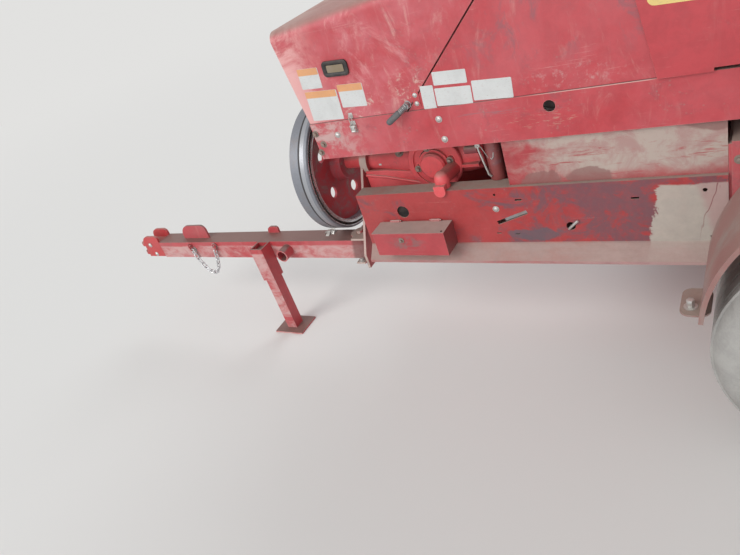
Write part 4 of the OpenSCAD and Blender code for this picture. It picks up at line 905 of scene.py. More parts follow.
def coil(start, end, radius, wire, turns):
    """A wire spring wound between two machine places."""
    a, b = at(*start), at(*end)
    turned = facing((b - a).normalized(), a)
    rise = (b - a).length / (turns * COIL_STEPS)
    points = []
    for k in range(turns * COIL_STEPS + 1):
        angle = math.tau * k / COIL_STEPS
        points.append(turned @ Vector((radius * math.cos(angle), radius * math.sin(angle), rise * k)))
    return pipe(points, wire)


def hold(obj, mesh, limit):
    """Brings back to the mesh what a bevel between short edges has thrown off it."""
    surface = BVHTree.FromPolygons([vertex.co for vertex in mesh.vertices],
                                   [tuple(face.vertices) for face in mesh.polygons])
    for vertex in obj.data.vertices:
        place, _, _, off = surface.find_nearest(vertex.co)
        if off > limit:
            vertex.co = place


# For the solids: edges sharper than this are rounded and faces flatter than this are one, in degrees,
# and points nearer than this are one, in metres
SHARP = 25
FLAT = 0.6
WELD = 2e-5


def dress(node, material):
    """A solid with its sharp edges rounded, shown in the solid's place."""
    edge = settings().hardware.edge
    source = frame["nodes"][node]
    obj = bpy.data.objects.new(f"{node}_dressed", source.data.copy())
    bpy.context.collection.objects.link(obj)
    activate(obj)
    edit_all()
    bpy.ops.mesh.remove_doubles(threshold=WELD)
    bpy.ops.mesh.dissolve_limited(angle_limit=math.radians(FLAT))
    bpy.ops.object.mode_set(mode="OBJECT")
    if node in THIN_SHEET:
        rounded(obj, edge / 2, SHARP, clamp=False)
        hold(obj, source.data, edge / 2)
    else:
        rounded(obj, edge, SHARP)
    smooth(obj, 50)
    # Keeps large flat faces flat where they meet a rounded edge
    weigh = obj.modifiers.new("weigh", "WEIGHTED_NORMAL")
    weigh.keep_sharp = True
    bpy.ops.object.modifier_apply(modifier=weigh.name)
    coat(obj, material)
    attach(obj, BODY_OF[node])
    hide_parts(node)


# Material of every solid, the solids with rounded edges, and those of thin sheet
FINISHES = {
    "sheet_red": ["side_shields"],
    "hood_red": ["front_hood"],
    "rear_red": ["rear_shields", "twine_box", "twine_box_lid", "knotter_hood", "feeder_housing"],
    "strip_red": ["side_channels"],
    "gusset_red": ["front_gusset"],
    "frame_red": ["case_floor", "bale_case", "rear_case", "axles", "tension_rails", "plunger",
                  "pickup_drive_shield", "bale_chute", "pickup_frame", "wind_guard"],
    "box_red": ["toolbox", "toolbox_lid"],
    "tongue_red": ["tongue_beam", "stand_leg"],
    "beam_red": ["side_beams"],
    "panel_red": ["inner_panels"],
    # The gearbox's brighter red is painted light
    "gear_red_painted_light": ["gearbox"],
    "cast_red": ["stripper_bands", "hitch_clevis"],
    "fender_red": ["fender"],
    "wheel_red": ["left_rim", "right_rim"],
    "flywheel": ["flywheel"],
    "worn_steel": ["plunger_drive", "hood_lever", "pickup_reel", "feeder_tines"],
    "hay_polished": ["knotter_stack", "tension_cranks", "needle_frame", "star_wheel"],
    "bright_steel": ["safety_chain"],
    "black": ["bale_counter"],
    "rubber": ["left_tyre", "right_tyre", "gauge_wheel"],
}
ROUNDED = ["front_hood", "side_shields", "rear_shields", "side_channels", "side_beams", "front_gusset",
           "tongue_beam", "toolbox", "toolbox_lid", "fender", "gearbox", "inner_panels", "twine_box",
           "twine_box_lid", "knotter_hood", "feeder_housing", "hitch_clevis", "flywheel"]
THIN_SHEET = ["front_hood", "side_shields", "inner_panels"]


class BalerOperator:
    bl_options = {"REGISTER", "UNDO"}


class BALER_OT_node_finish(BalerOperator, Operator):
    """Give every solid its finish and round the edges of those that show most"""
    bl_idname = "baler.node_finish"
    bl_label = "Paint and steel of the solids"

    def execute(self, context):
        make_materials()
        for material, nodes in FINISHES.items():
            for node in nodes:
                if node in ROUNDED:
                    dress(node, material)
                else:
                    coat(frame["nodes"][node], material)
        return {"FINISHED"}


# Shared places of the fittings
SIDE = low("side_channels").y
RIGHT_SIDE = high("side_channels").y
HOOD_SIDE = low("front_hood").y
CHANNEL_TOP = high("side_channels").z
SHAFT_Z = middle("flywheel").z


def leaning(tilt):
    """Up, leaning to the rear by the tilt in radians."""
    return Vector((math.sin(tilt), 0, math.cos(tilt)))


def path(points):
    """Machine places as places in the frame."""
    return [at(*point) for point in points]


def both_sides(places):
    """Pairs of x and z on the outside of the channels, first on the left and then on the right."""
    return [((x, y, z), direction) for y, direction in ((SIDE, LEFT), (RIGHT_SIDE, RIGHT)) for x, z in places]


def round_a_circle(radius, degrees):
    """Points across and up on a circle round the origin."""
    return [(radius * math.cos(a), radius * math.sin(a)) for a in map(math.radians, degrees)]


def label(width, height, place, tilt=0.0, radius=0.004, side=HOOD_SIDE):
    """A blank plate on the left side, its middle at x and z, turned by the tilt."""
    x, z = place
    return outline(round_rectangle(width, height, radius), LEFT, at(x, side, z),
                   settings().hardware.label, leaning(tilt))


# Plates: width, height, and the middle's x and z
PLATE_TILT = math.radians(3)
HOOD_PLATES = [
    (0.095, 0.080, (-1.770, 1.286)),
    (0.145, 0.120, (-1.745, 1.174)),
    (0.110, 0.090, (-1.607, 1.197)),
]
SHIELD_PLATES = [
    (0.050, 0.085, (-1.2985, 1.147)),
    (0.125, 0.048, (-1.202, 1.206)),
    (0.135, 0.065, (-1.202, 1.139)),
    (0.140, 0.070, (-1.059, 1.144)),
]
REAR_PLATE = (0.36, 0.055, (-0.380, 1.336))
# Orange bands on the hood plates
BAND_HEIGHT = 0.026


class BALER_OT_plates(BalerOperator, Operator):
    """Add the blank plates of the hood and shields"""
    bl_idname = "baler.plates"
    bl_label = "Blank plates"

    def band(self, width, height, place):
        """The orange band along the top of a hood plate, just proud of it."""
        x, z = place
        top = (x, z + height / 2 - BAND_HEIGHT / 2 - 0.0005)
        return label(width - 0.002, BAND_HEIGHT, top, PLATE_TILT, 0.002, HOOD_SIDE - 0.0004)

    def execute(self, context):
        piece("hood_plates", [label(*plate, PLATE_TILT) for plate in HOOD_PLATES], "hood", "white_plate")
        piece("hood_plate_bands", [self.band(*plate) for plate in HOOD_PLATES], "hood", "orange_plate")
        shields = [label(*plate, PLATE_TILT) for plate in SHIELD_PLATES]
        piece("shield_plates", shields, "chassis", "white_plate")
        side = low("rear_shields").y
        piece("rear_plate", [label(*REAR_PLATE, PLATE_TILT, 0.02, side)], "chassis", "yellow_plate")
        return {"FINISHED"}


# Draw latch: where it stands along the hood, and its wire bail along and up
LATCH_X = -1.642
BAIL = [(-0.006, -0.026), (-0.006, 0.013), (-0.003, 0.017), (0.003, 0.017), (0.006, 0.013), (0.006, -0.026)]
# Counter: lean in radians, depth of its case, and how far its glass stands out and how thick it is
COUNTER_TILT = 0.05
COUNTER_DEPTH = 0.0078
GLASS_STANDS_OUT = 0.0050
GLASS_THICKNESS = 0.0006
# Share of the case that the glass takes up
GLASS_SHARE = (0.66, 0.46)
# Lever: rubber grip with its ribs, and the spring's coil
GRIP_LENGTH = 0.065
GRIP_RIBS = 13
GRIP_RADIUS = 0.0118
SPRING_RADIUS = 0.0112


class BALER_OT_hood_fittings(BalerOperator, Operator):
    """Add the counter's window, the draw latch and the lever's spring and grip"""
    bl_idname = "baler.hood_fittings"
    bl_label = "Hood fittings"

    def counter(self):
        """The counter's black case with its face pressed in, and a small display."""
        start, end = low("bale_counter"), high("bale_counter")
        x, z = (start.x + end.x) / 2, (start.z + end.z) / 2
        width, height = end.x - start.x, end.z - start.z
        up = leaning(COUNTER_TILT)
        face = outline(round_rectangle(width, height, 0.016, 6), LEFT, at(x, HOOD_SIDE, z),
                       COUNTER_DEPTH, up, edge=COUNTER_DEPTH / 3)
        bezel = piece("counter_bezel", [press(face, LEFT, rim=0.010, depth=0.003)], "hood", "black")
        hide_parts("bale_counter")
        across, tall = GLASS_SHARE
        glass = outline(round_rectangle(width * across, height * tall, 0.004, 3), LEFT,
                        at(x, HOOD_SIDE - GLASS_STANDS_OUT, z), GLASS_THICKNESS, up)
        piece("counter_window", [glass], "hood", "display")

    def latch(self):
        """Draw latch: plate with two ears, roller, claw and a wire bail that goes up over its keeper."""
        x, foot = LATCH_X, CHANNEL_TOP
        front = SIDE - 0.002
        plate = block((x - 0.012, front, foot - 0.054), (x + 0.012, SIDE, foot - 0.006), 0.0006)
        ears = [block((x + s * 0.010 - 0.001, front - 0.011, foot - 0.050),
                      (x + s * 0.010 + 0.001, front, foot - 0.020), 0.0004) for s in (-1, 1)]
        pin = disc(REAR, at(x - 0.013, front - 0.007, foot - 0.026), 0.003, 0.026, 16)
        roller = disc(REAR, at(x - 0.008, front - 0.008, foot - 0.046), 0.0045, 0.016, 16)
        claw = block((x - 0.007, front - 0.0115, foot - 0.046),
                     (x + 0.007, front - 0.0085, foot - 0.024), 0.001)
        bail = pipe(path([(x + u, front - 0.007, foot + v) for u, v in BAIL]), 0.0017)
        piece("draw_latch", [plate, *ears, pin, roller, claw, bail], "chassis", "zinc")
        keeper = block((x - 0.009, HOOD_SIDE - 0.002, foot + 0.004),
                       (x + 0.009, HOOD_SIDE, foot + 0.026), 0.0006)
        piece("latch_keeper", [keeper], "hood", "zinc")

    def grip(self, root, along, length):
        """Ribbed rubber grip over the outer end of the lever."""
        ribs = [(GRIP_RADIUS + 0.0010 * (k % 2), 0.004 + k * 0.0042) for k in range(GRIP_RIBS)]
        profile = [(0.0068, 0), (0.0105, 0.001), *ribs, (0.0105, 0.060), (0.007, 0.064), (0, GRIP_LENGTH)]
        return revolve(profile, along, root + along * (length - 0.058), 28)

    def lever(self):
        """Grip, spring and catch plate of the lever that locks the hood."""
        start, end = low("hood_lever"), high("hood_lever")
        # Middle of the lever's outer end, and of its root at the hood
        tip = at(start.x + 0.005, start.y + 0.005, start.z + 0.005)
        root = at(end.x - 0.012, HOOD_SIDE - 0.016, end.z - 0.012)
        along = (tip - root).normalized()
        length = (tip - root).length
        piece("lever_grip", [self.grip(root, along, length)], "hood", "grip")
        base = root - at(0, 0, 0)
        mid = base + along * (length * 0.36)
        spring = coil(tuple(base), tuple(mid), SPRING_RADIUS, 0.0018, 6)
        nut = disc(-along, at(*mid), 0.0105, 0.004, 6, 0.0005)
        washer = disc(LEFT, at(base.x, HOOD_SIDE, base.z), 0.0145, 0.003, 28, 0.0008)
        piece("lever_spring", [spring, nut, washer], "hood", "worn_steel")
        x, z = base.x + 0.039, 1.147
        plate = outline(round_rectangle(0.028, 0.060, 0.006), LEFT, at(x, HOOD_SIDE, z), 0.003, edge=0.0006)
        piece("lever_catch", [plate], "chassis", "strip_red")
        rivets = [((x, HOOD_SIDE - 0.003, z + up), LEFT) for up in (0.016, -0.016)]
        piece("catch_bolts", domed_bolts(rivets, 0.0075), "chassis", "zinc")

    def execute(self, context):
        self.counter()
        self.latch()
        self.lever()
        return {"FINISHED"}


# Bolts of the channels and beams: x and z, the same on both sides
FRONT_BOLTS = [(-1.835, 1.063), (-1.814, 1.016), (-1.838, 0.982)]
CHANNEL_DOMES = [(-1.731, 1.048), (-1.279, 1.062), (-1.276, 0.983)]
BEAM_DOME = [(-1.142, 0.680)]
# Bolts of the case: rows along it and heights. The needle frame's arms pass at one place,
# and the feeder covers the right wall up to its rear
CASE_ROWS = (-0.340, 0.560, 0.960, 1.400, 1.810)
CASE_HEIGHTS = (0.545, 0.683, 0.820)
NEEDLE_PASSES = (0.560, 0.545)
FEEDER_REAR = 0.5
# Slanted slot, round hole and half-moon hole of the left beam, and the bolt of its foot: x and z
SLOT_SLOPE = math.radians(20)
SLOT_PLACE = (-1.074, 0.6455)
ROD_PLACE = (-0.882, 0.583)
MOON_PLACE = (-1.546, 0.680)
FOOT_BOLT = (-1.833, 0.439)


class BALER_OT_frame_bolts(BalerOperator, Operator):
    """Add the bolts of channels, beams and case and what stands in the left beam's holes"""
    bl_idname = "baler.frame_bolts"
    bl_label = "Frame bolts"

    def beam_fittings(self):
        """Bar behind the slot, rod end that stands out of the round hole, and a dark disc behind the half
        moon as a painted shade in the hole.
        """
        x, z = SLOT_PLACE
        bar = outline([(-0.046, -0.008), (0.070, -0.008), (0.070, 0.007), (-0.046, 0.007)], LEFT,
                      at(x, SIDE + 0.0105, z), 0.003, leaning(-SLOT_SLOPE))
        piece("slot_bar", [bar], "chassis", "worn_steel")
        along = Vector((math.cos(SLOT_SLOPE), 0, math.sin(SLOT_SLOPE)))
        outwards = (along + UP * 0.6 + LEFT * 0.22).normalized()
        x, z = ROD_PLACE
        rod = disc(outwards, at(x, SIDE + 0.003, z), 0.0052, 0.056, 20, 0.001)
        piece("rod_end", [rod], "chassis", "zinc")
        x, z = MOON_PLACE
        # Dark disc behind the half-moon hole: painted shade in the hole
        piece("hole_shade", [disc(LEFT, at(x, SIDE + 0.012, z), 0.052, 0.002)], "chassis", "dark")

    def case(self):
        """Bolts of the case's rings, apart from those behind the feeder and in the needles' way."""
        walls = ((low("bale_case").y, LEFT), (high("bale_case").y, RIGHT))
        return [((x, y, z), direction) for x in CASE_ROWS for y, direction in walls for z in CASE_HEIGHTS
                if not (direction == RIGHT and x < FEEDER_REAR) and (x, z) != NEEDLE_PASSES]

    def execute(self, context):
        piece("channel_bolts", bolts(both_sides(FRONT_BOLTS), 0.015), "chassis", "rusty_steel")
        domes = both_sides(CHANNEL_DOMES) + both_sides(BEAM_DOME)
        piece("channel_domes", domed_bolts(domes, 0.0105), "chassis", "zinc")
        self.beam_fittings()
        piece("case_bolts", bolts(self.case(), 0.016), "chassis", "rusty_steel")
        x, z = FOOT_BOLT
        piece("foot_bolt", bolts([((x, SIDE - 0.004, z), UP)], 0.017), "chassis", "zinc")
        return {"FINISHED"}


# Round cap of the gearbox: its middle, its face, the bolts in its lobes and the crescent beside it
CAP_X = -1.428
CAP_FACE = -0.104
LOBE_RADIUS = 0.076
LOBE_ANGLES = (10, 100, 190, 280)
RECESS_OUTER = 0.070
RECESS_INNER = 0.060
RECESS_FACE = -0.0925
# Cast web under the nose: x and z
WEB = [(-1.790, 0.690), (-1.790, 0.790), (-1.690, 0.790), (-1.530, 0.772), (-1.490, 0.762), (-1.470, 0.700)]
WEB_MIDDLE = (-1.6, 0.7)
WEB_SIDE = -0.045
WEB_THICKNESS = 0.022
RIDGE = [(-1.790, 0.772), (-1.690, 0.757), (-1.500, 0.712)]
# Round elbow of the left foot: radius and height
ELBOW = [(0.0, 0.0318), (0.0159, 0.0275), (0.0275, 0.0159), (0.0318, 0.0), (0.0318, -0.012)]
# Turned rings on the rear face of the flywheel's rim: radius and height
RIM_STEP = [(0.2635, 0), (0.2635, 0.0028), (0.2650, 0.0036), (0.2760, 0.0036), (0.2775, 0.0028), (0.2775, 0)]
RIM_LINE = [(0.2890, 0), (0.2890, 0.0022), (0.2925, 0.0022), (0.2925, 0)]
# Dark ring in the groove between the rings: a painted shadow
RIM_GROOVE = [(0.2780, 0), (0.2780, 0.0008), (0.2885, 0.0008), (0.2885, 0)]
# Small plate on the nose, and the link that trips the knotters: x, y and z
NOSE_PLATE = (0.013, 0.008, (-1.712, 0.812))
NOSE_TILT = 0.05
NOSE_SIDE = -0.0525
TRIP_ROD = [(-1.181, -0.200, 0.922), (-1.179, -0.201, 0.905),
            (-1.160, -0.200, 0.803), (-1.152, -0.196, 0.792)]
TRIP_WIRE = [(-1.172, -0.194, 0.915), (-1.150, -0.190, 0.860), (-1.146, -0.180, 0.806)]
TRIP_HOOK = [(-1.128, -0.190, 0.892), (-1.130, -0.196, 0.872),
             (-1.138, -0.196, 0.862), (-1.146, -0.190, 0.870)]


class BALER_OT_drive_fittings(BalerOperator, Operator):
    """Add the gearbox's bolts, plugs and web, the link behind it and the flywheel's bright rings"""
    bl_idname = "baler.drive_fittings"
    bl_label = "Drive fittings"

    def cap(self):
        """Bolts in the cap's lobes, and a dark crescent set back beside it as a painted shade in its recess.
        """
        ring = round_a_circle(LOBE_RADIUS, LOBE_ANGLES)
        lobes = [((CAP_X + u, CAP_FACE, SHAFT_Z + v), LEFT) for u, v in ring]
        piece("cap_bolts", bolts(lobes, 0.016, 0.7), "chassis", "rusty_steel")
        outer = round_a_circle(RECESS_OUTER, range(-80, 81, 16))
        inner = round_a_circle(RECESS_INNER, range(80, -81, -16))
        crescent = [(-u, v) for u, v in outer + inner]
        # Dark crescent set back in the recess: painted shade
        recess = outline(crescent, LEFT, at(CAP_X, RECESS_FACE, SHAFT_Z), 0.0012)
        piece("cap_recess_shade", [recess], "chassis", "dark")

    def nose(self):
        """Small plate on the nose, and the filler and level plugs."""
        plate = label(*NOSE_PLATE, NOSE_TILT, 0.001, NOSE_SIDE)
        piece("nose_plate", [plate], "chassis", "silver_plate")
        filler = ((-1.36, -0.02, SHAFT_Z + 0.078), UP)
        level = ((-1.60, -0.052, SHAFT_Z + 0.045), (LEFT + UP * 0.9).normalized())
        piece("gear_plugs", bolts([filler, level], 0.022), "chassis", "rusty_steel")

    def trip(self):
        """Rod, wire, sleeve, hook and tube of the link behind the gearbox."""
        rod, wire = pipe(path(TRIP_ROD), 0.0042), pipe(path(TRIP_WIRE), 0.0016)
        eye = disc(LEFT, at(-1.181, -0.194, 0.922), 0.010, 0.008, 20, 0.001)
        piece("trip_link", [rod, wire, eye], "chassis", "zinc")
        sleeve = disc(REAR, at(-1.238, -0.190, 0.905), 0.015, 0.052, 24, 0.002)
        piece("trip_sleeve", [sleeve], "chassis", "sheet_red")
        piece("trip_hook", [pipe(path(TRIP_HOOK), 0.0022)], "chassis", "zinc")
        # The tube's dark red is painted shade, with grease smears
        tube = disc(UP, at(-1.138, -0.165, 0.7715), 0.030, 0.17, 28, 0.002)
        piece("trip_tube", [tube], "chassis", "grime_and_shade_red")

    def web(self):
        """Cast web with a ridge under the nose, and the round elbow of the left foot."""
        x, z = WEB_MIDDLE
        corners = [(u - x, v - z) for u, v in WEB]
        plate = outline(corners, LEFT, at(x, WEB_SIDE, z), WEB_THICKNESS, edge=0.004)
        face = WEB_SIDE - WEB_THICKNESS
        ridge = pipe(path([(u, face, v) for u, v in RIDGE]), 0.007, 12)
        elbow = revolve(ELBOW, UP, at(-1.350, SIDE + 0.036, 0.806), 32)
        piece("gearbox_web", [plate, ridge, elbow], "chassis", "gear_red_painted_light")

    def rim(self):
        """Turned rings on the rear face of the flywheel's rim, and a dark ring in the groove between them as
        a painted shadow.
        """
        face = at(high("flywheel").x - 0.008, 0, SHAFT_Z)
        rings = [revolve(profile, REAR, face, 96) for profile in (RIM_STEP, RIM_LINE)]
        piece("rim_rings", rings, "flywheel", "bright_steel")
        piece("rim_groove_shadow", [revolve(RIM_GROOVE, REAR, face, 96)], "flywheel", "dark")

    def execute(self, context):
        self.cap()
        self.nose()
        self.trip()
        self.web()
        self.rim()
        return {"FINISHED"}


# Screw of the toolbox: x and z
TOOLBOX_SCREW = (-1.530, 0.608)
# Wire handle of the twine box lid: along, out and up
LID_HANDLE = [(-0.09, 0.0, -0.017), (-0.09, 0.030, -0.017), (-0.075, 0.038, -0.017), (0.075, 0.038, -0.017),
              (0.09, 0.030, -0.017), (0.09, 0.0, -0.017)]
# How far the straps of the twine box stand from its middle
STRAP_REACH = 0.28


class BALER_OT_box_fittings(BalerOperator, Operator):
    """Add the screw of the toolbox and the handle and catches of the twine box"""
    bl_idname = "baler.box_fittings"
    bl_label = "Box fittings"

    def toolbox(self):
        """Screw with its washer on the front, and a dark mark on the lid."""
        face = low("toolbox").y
        x, z = TOOLBOX_SCREW
        washer = disc(LEFT, at(x, face, z), 0.012, 0.003, 24, 0.0006)
        head = disc(LEFT, at(x, face - 0.003, z), 0.0065, 0.010, 6, 0.0008)
        piece("toolbox_screw", [washer, head], "chassis", "rusty_steel")
        start, end = low("toolbox_lid"), high("toolbox_lid")
        mark = disc(UP, at(end.x - 0.014, start.y + 0.012, start.z + 0.0037), 0.004, 0.0012, 16)
        piece("lid_mark", [mark], "tool_lid", "dark")

    def twine_box(self):
        """Handle on the lid, and two strap catches below it."""
        start, end = low("twine_box"), high("twine_box")
        lid = high("twine_box_lid")
        x = (start.x + end.x) / 2
        handle = pipe(path([(x + u, lid.y + v, lid.z + w) for u, v, w in LID_HANDLE]), 0.006)
        piece("lid_handle", [handle], "twine_lid", "black")
        straps = [block((u - 0.012, end.y, lid.z - 0.110), (u + 0.012, end.y + 0.004, lid.z - 0.045))
                  for u in (x - STRAP_REACH, x + STRAP_REACH)]
        piece("box_straps", straps, "chassis", "black")

    def execute(self, context):
        self.toolbox()
        self.twine_box()
        return {"FINISHED"}


# Top and left side of the tongue
TONGUE_TOP = 0.515
TONGUE_SIDE = -0.205
# Bent strips of the spring clip: x, offset sideways and lean
CLIP_STRIPS = [(-2.056, 0.0, 0.5), (-2.036, 0.012, 0.9)]
# Wire of the spring clip: x, y and height over the tongue
CLIP_WIRE = [(-2.074, -0.150, 0.004), (-2.054, -0.160, 0.024),
             (-2.036, -0.140, 0.022), (-2.024, -0.120, 0.004)]
# Bolts of the hitch's cheek and of the tongue's eye: x and z
CHEEK_BOLTS = [(-3.306, 0.500), (-3.290, 0.440)]
EYE_BOLTS = [(-2.96, 0.470), (-2.79, 0.490)]


class BALER_OT_tongue_fittings(BalerOperator, Operator):
    """Add the spring clip and bolts of the tongue and hitch"""
    bl_idname = "baler.tongue_fittings"
    bl_label = "Tongue fittings"

    def strip(self, x, sideways, lean):
        """One bent strip of the spring clip."""
        corners = [(-0.026, -0.010), (0.026, -0.010), (0.026, 0.010), (-0.026, 0.010)]
        place = at(x, -0.148 + sideways, TONGUE_TOP + 0.004)
        return outline(corners, (UP + LEFT * lean).normalized(), place, 0.003, REAR, 0.0005)

    def execute(self, context):
        strips = [self.strip(*strip) for strip in CLIP_STRIPS]
        wire = pipe(path([(x, y, TONGUE_TOP + up) for x, y, up in CLIP_WIRE]), 0.0028)
        piece("spring_clip", [*strips, wire], "tongue", "zinc")
        cheek = low("hitch_clevis").y
        domes = domed_bolts([((x, cheek, z), LEFT) for x, z in CHEEK_BOLTS], 0.011)
        piece("cheek_bolts", domes, "tongue", "zinc")
        eyes = bolts([((x, TONGUE_SIDE, z), LEFT) for x, z in EYE_BOLTS], 0.020)
        piece("eye_bolts", eyes, "tongue", "zinc")
        return {"FINISHED"}


# Road wheels: radius and turns of the bolts, and the hub cap's radius and height
WHEEL_BOLT_CIRCLE = 0.090
WHEEL_BOLT_TURNS = range(0, 360, 72)
HUB_CAP = [(0, 0), (0.036, 0), (0.036, 0.010), (0.033, 0.026), (0.022, 0.032), (0, 0.033)]
# Bolts of the fender's lip and of its stay: x and z
FENDER_BOLT = (-0.446, 0.5636)
STAY_BOLTS = [(0.035, 0.975), (0.055, 0.975)]


class BALER_OT_wheel_fittings(BalerOperator, Operator):
    """Add the wheel bolts, the hub caps and the fender's bolts"""
    bl_idname = "baler.wheel_fittings"
    bl_label = "Wheel fittings"

    def wheel(self, side, direction):
        """Bolts and cap in the dish of one road wheel."""
        centre = middle(f"{side}_tyre")
        x, y, z = centre.x - AXLE_X, centre.y - CENTRE_Y, centre.z
        dish, hub = y - direction.y * 0.004, y + direction.y * 0.026
        ring = round_a_circle(WHEEL_BOLT_CIRCLE, WHEEL_BOLT_TURNS)
        nuts = [((x + u, dish, z + v), direction) for u, v in ring]
        piece(f"{side}_wheel_nuts", bolts(nuts, 0.021, 0.8), f"{side}_wheel", "rusty_steel")
        cap = revolve(HUB_CAP, direction, at(x, hub, z), 36)
        piece(f"{side}_hub_cap", [cap], f"{side}_wheel", "wheel_red")

    def execute(self, context):
        self.wheel("left", LEFT)
        self.wheel("right", RIGHT)
        x, z = FENDER_BOLT
        lip = [((x, low("fender").y + 0.070, z), UP)]
        piece("fender_bolt", bolts(lip, 0.020, 1.2), "chassis", "zinc")
        stay = [((x, SIDE - 0.006, z), LEFT) for x, z in STAY_BOLTS]
        piece("stay_bolts", bolts(stay, 0.016), "chassis", "zinc")
        return {"FINISHED"}


# Stripper bands: their number, width, radius and the turns of their bolts round the reel
BAND_COUNT = 23
BAND_WIDTH = 0.040
BAND_RADIUS = 0.1778
BAND_BOLT_ANGLES = (200, 262)
SHEET_BOLT_CIRCLE = 0.11
# Drive shield: x and z of its front end, its run to the rear and down, and its bolts as shares of that
SHIELD_START = (-1.428, 0.805)
SHIELD_RUN = (0.948, -0.425)
SHIELD_BOLTS = (0.08, 0.40, 0.70)


class BALER_OT_pickup_fittings(BalerOperator, Operator):
    """Add the bolts of the stripper bands, side sheets and drive shield and the gauge wheel's cap"""
    bl_idname = "baler.pickup_fittings"
    bl_label = "Pickup fittings"

    def bands(self, x, z):
        """Two small domed bolts on each band, round the reel's axis at x and z."""
        start, end = low("stripper_bands"), high("stripper_bands")
        pitch = (end.y - start.y - BAND_WIDTH) / (BAND_COUNT - 1)
        heads = []
        for k in range(BAND_COUNT):
            for u, v in round_a_circle(1, BAND_BOLT_ANGLES):
                place = (x + BAND_RADIUS * u, start.y + BAND_WIDTH / 2 + k * pitch, z + BAND_RADIUS * v)
                heads.append((place, Vector((u, 0, v))))
        piece("band_bolts", domed_bolts(heads, 0.006), "pickup", "rusty_steel")

    def drive_shield(self):
        """Bolts along the slanting shield of the pickup's drive."""
        side = high("pickup_drive_shield").y - 0.0001
        x, z = SHIELD_START
        back, rise = SHIELD_RUN
        line = [((x + back * t, side, z + rise * t), RIGHT) for t in SHIELD_BOLTS]
        piece("shield_bolts", bolts(line, 0.016), "chassis", "rusty_steel")

    def gauge(self):
        """Cap on the hub of the gauge wheel."""
        hub = middle("gauge_wheel")
        outside = high("gauge_wheel").y + CENTRE_Y - 0.005
        cap = revolve([(0, 0), (0.024, 0), (0.024, 0.006), (0.014, 0.012), (0, 0.012)], RIGHT,
                      Vector((hub.x, outside, hub.z)), 24)
        piece("gauge_cap", [cap], "gauge_wheel", "rusty_steel")

    def execute(self, context):
        reel = middle("pickup_reel")
        x, z = reel.x - AXLE_X, reel.z
        self.bands(x, z)
        sheet = high("pickup_reel").y + 0.012
        ring = round_a_circle(SHEET_BOLT_CIRCLE, range(20, 380, 60))
        rim = [((x + u, sheet, z + v), RIGHT) for u, v in ring]
        piece("sheet_bolts", bolts(rim, 0.014), "pickup", "rusty_steel")
        self.drive_shield()
        self.gauge()
        return {"FINISHED"}


# Lamps: name, direction it shines from, share of the main lamp's strength, spread in degrees and tint
LAMPS = [
    ("main", (-0.35, -0.70, 0.62), 1.0, 35, (1.0, 0.985, 0.96)),
    ("low", (0.20, -0.95, 0.15), 0.55, 45, (0.97, 0.98, 1.0)),
    ("far", (0.15, 0.80, 0.55), 0.65, 40, (0.96, 0.98, 1.0)),
]
LAMP_DISTANCE = 8
BACKDROP_TINT = (1, 0.995, 0.98, 1)
SKY_TINT = (0.97, 0.98, 1.0, 1)
# Floor: its size, how far it lies under the tyres, and where its fade into the backdrop starts and
# ends, in metres from the machine's middle
FLOOR_SIZE = 60
FLOOR_DROP = 0.0005
FADE_START, FADE_END = 5.0, 14.0
# Camera behind the left wheel, looking forward and down over the side, and rolled
CAMERA_PLACE = (-0.250, -2.250, 1.840)
CAMERA_RIGHT = Vector((0.8451, 0.4424, -0.3001))
CAMERA_UP = Vector((-0.0215, 0.5891, 0.8078))
SENSOR_WIDTH = 36


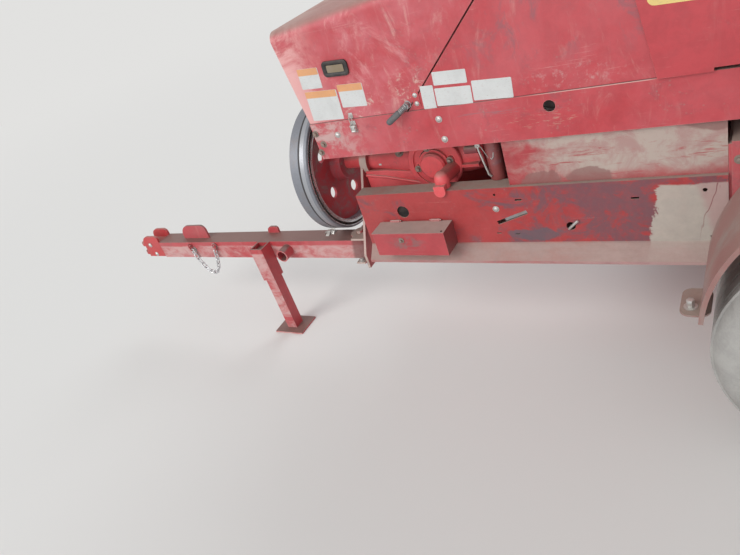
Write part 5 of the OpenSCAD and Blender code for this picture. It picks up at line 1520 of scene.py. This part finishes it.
class BALER_OT_stage(BalerOperator, Operator):
    """Lay the floor and set the lights and the camera"""
    bl_idname = "baler.stage"
    bl_label = "Floor, lights and camera"

    def floor(self, stage):
        """A wide plain floor that fades into the backdrop far from the machine."""
        deselect()
        bpy.ops.mesh.primitive_plane_add(size=FLOOR_SIZE, location=(0, 0, -FLOOR_DROP))
        floor = bpy.context.object
        floor.name = floor.data.name = "floor"
        settle_transform(floor)
        s = Shader("floor")
        plain = s.node("ShaderNodeBsdfPrincipled", values={"Base Color": (*stage.floor, 1), "Roughness": 0.9})
        far = s.length(s.place()).within(FADE_START, FADE_END) * s.seen()
        fade = s.node("ShaderNodeEmission", values={"Color": BACKDROP_TINT, "Strength": stage.backdrop})
        mixed = s.node("ShaderNodeMixShader", values={0: far, 1: plain, 2: fade})
        s.node("ShaderNodeOutputMaterial", values={"Surface": mixed})
        floor.data.materials.append(s.material)

    def sky(self, stage):
        """Even light from all round, with the backdrop's brightness where it is seen."""
        world = bpy.data.worlds.new("studio")
        bpy.context.scene.world = world
        w = Shader("studio", world)
        sky = w.node("ShaderNodeBackground", values={"Color": SKY_TINT, "Strength": stage.sky})
        behind = w.node("ShaderNodeBackground", values={"Color": BACKDROP_TINT, "Strength": stage.backdrop})
        mixed = w.node("ShaderNodeMixShader", values={0: w.seen(), 1: sky, 2: behind})
        w.node("ShaderNodeOutputWorld", values={"Surface": mixed})

    def lamps(self, stage):
        """Broad lamps: high at the left front, low on the left and high on the right."""
        for name, toward, share, spread, tint in LAMPS:
            bpy.ops.object.light_add(type="SUN", location=at(*toward) * LAMP_DISTANCE)
            lamp = bpy.context.object
            lamp.name = name
            lamp.data.energy = stage.lamp * share
            lamp.data.angle = math.radians(spread)
            lamp.data.color = tint
            lamp.rotation_euler = Vector(toward).to_track_quat("Z", "Y").to_euler()

    def camera(self, stage):
        """The view of the photograph."""
        back = CAMERA_RIGHT.cross(CAMERA_UP)
        bpy.ops.object.camera_add(location=at(*CAMERA_PLACE))
        camera = bpy.context.object
        camera.data.lens, camera.data.sensor_width = stage.lens, SENSOR_WIDTH
        camera.data.clip_start, camera.data.clip_end = 0.05, 100
        camera.rotation_euler = Matrix((CAMERA_RIGHT, CAMERA_UP, back)).transposed().to_euler()
        bpy.context.scene.camera = camera

    def execute(self, context):
        stage = settings().stage
        self.floor(stage)
        self.sky(stage)
        self.lamps(stage)
        self.camera(stage)
        context.scene.view_settings.view_transform = "Standard"
        return {"FINISHED"}


OPERATORS = [
    BALER_OT_stage, BALER_OT_node_finish, BALER_OT_plates, BALER_OT_hood_fittings, BALER_OT_frame_bolts,
    BALER_OT_drive_fittings, BALER_OT_box_fittings, BALER_OT_tongue_fittings, BALER_OT_wheel_fittings,
    BALER_OT_pickup_fittings,
]


class BALER_PT_panel(Panel):
    """Lists the settings and the steps in the order in which they run"""
    bl_idname = "BALER_PT_panel"
    bl_label = "Baler finish"
    bl_space_type = "VIEW_3D"
    bl_region_type = "UI"
    bl_category = "Baler"

    def draw(self, context):
        layout = self.layout
        for group in ("paint", "hardware", "stage"):
            box = layout.box()
            box.label(text=group.capitalize())
            values = getattr(context.scene.baler, group)
            for name in values.__annotations__:
                box.prop(values, name)
        for operator in OPERATORS:
            layout.operator(operator.bl_idname)


CLASSES = [BALER_PG_paint, BALER_PG_hardware, BALER_PG_stage, BALER_PG_settings, *OPERATORS, BALER_PT_panel]


def register():
    for cls in CLASSES:
        bpy.utils.register_class(cls)
    bpy.types.Scene.baler = PointerProperty(type=BALER_PG_settings)


def unregister():
    del bpy.types.Scene.baler
    for cls in reversed(CLASSES):
        bpy.utils.unregister_class(cls)


def main():
    register()
    for operator in OPERATORS:
        group, name = operator.bl_idname.split(".")
        getattr(getattr(bpy.ops, group), name)()


if __name__ == "__main__":
    main()
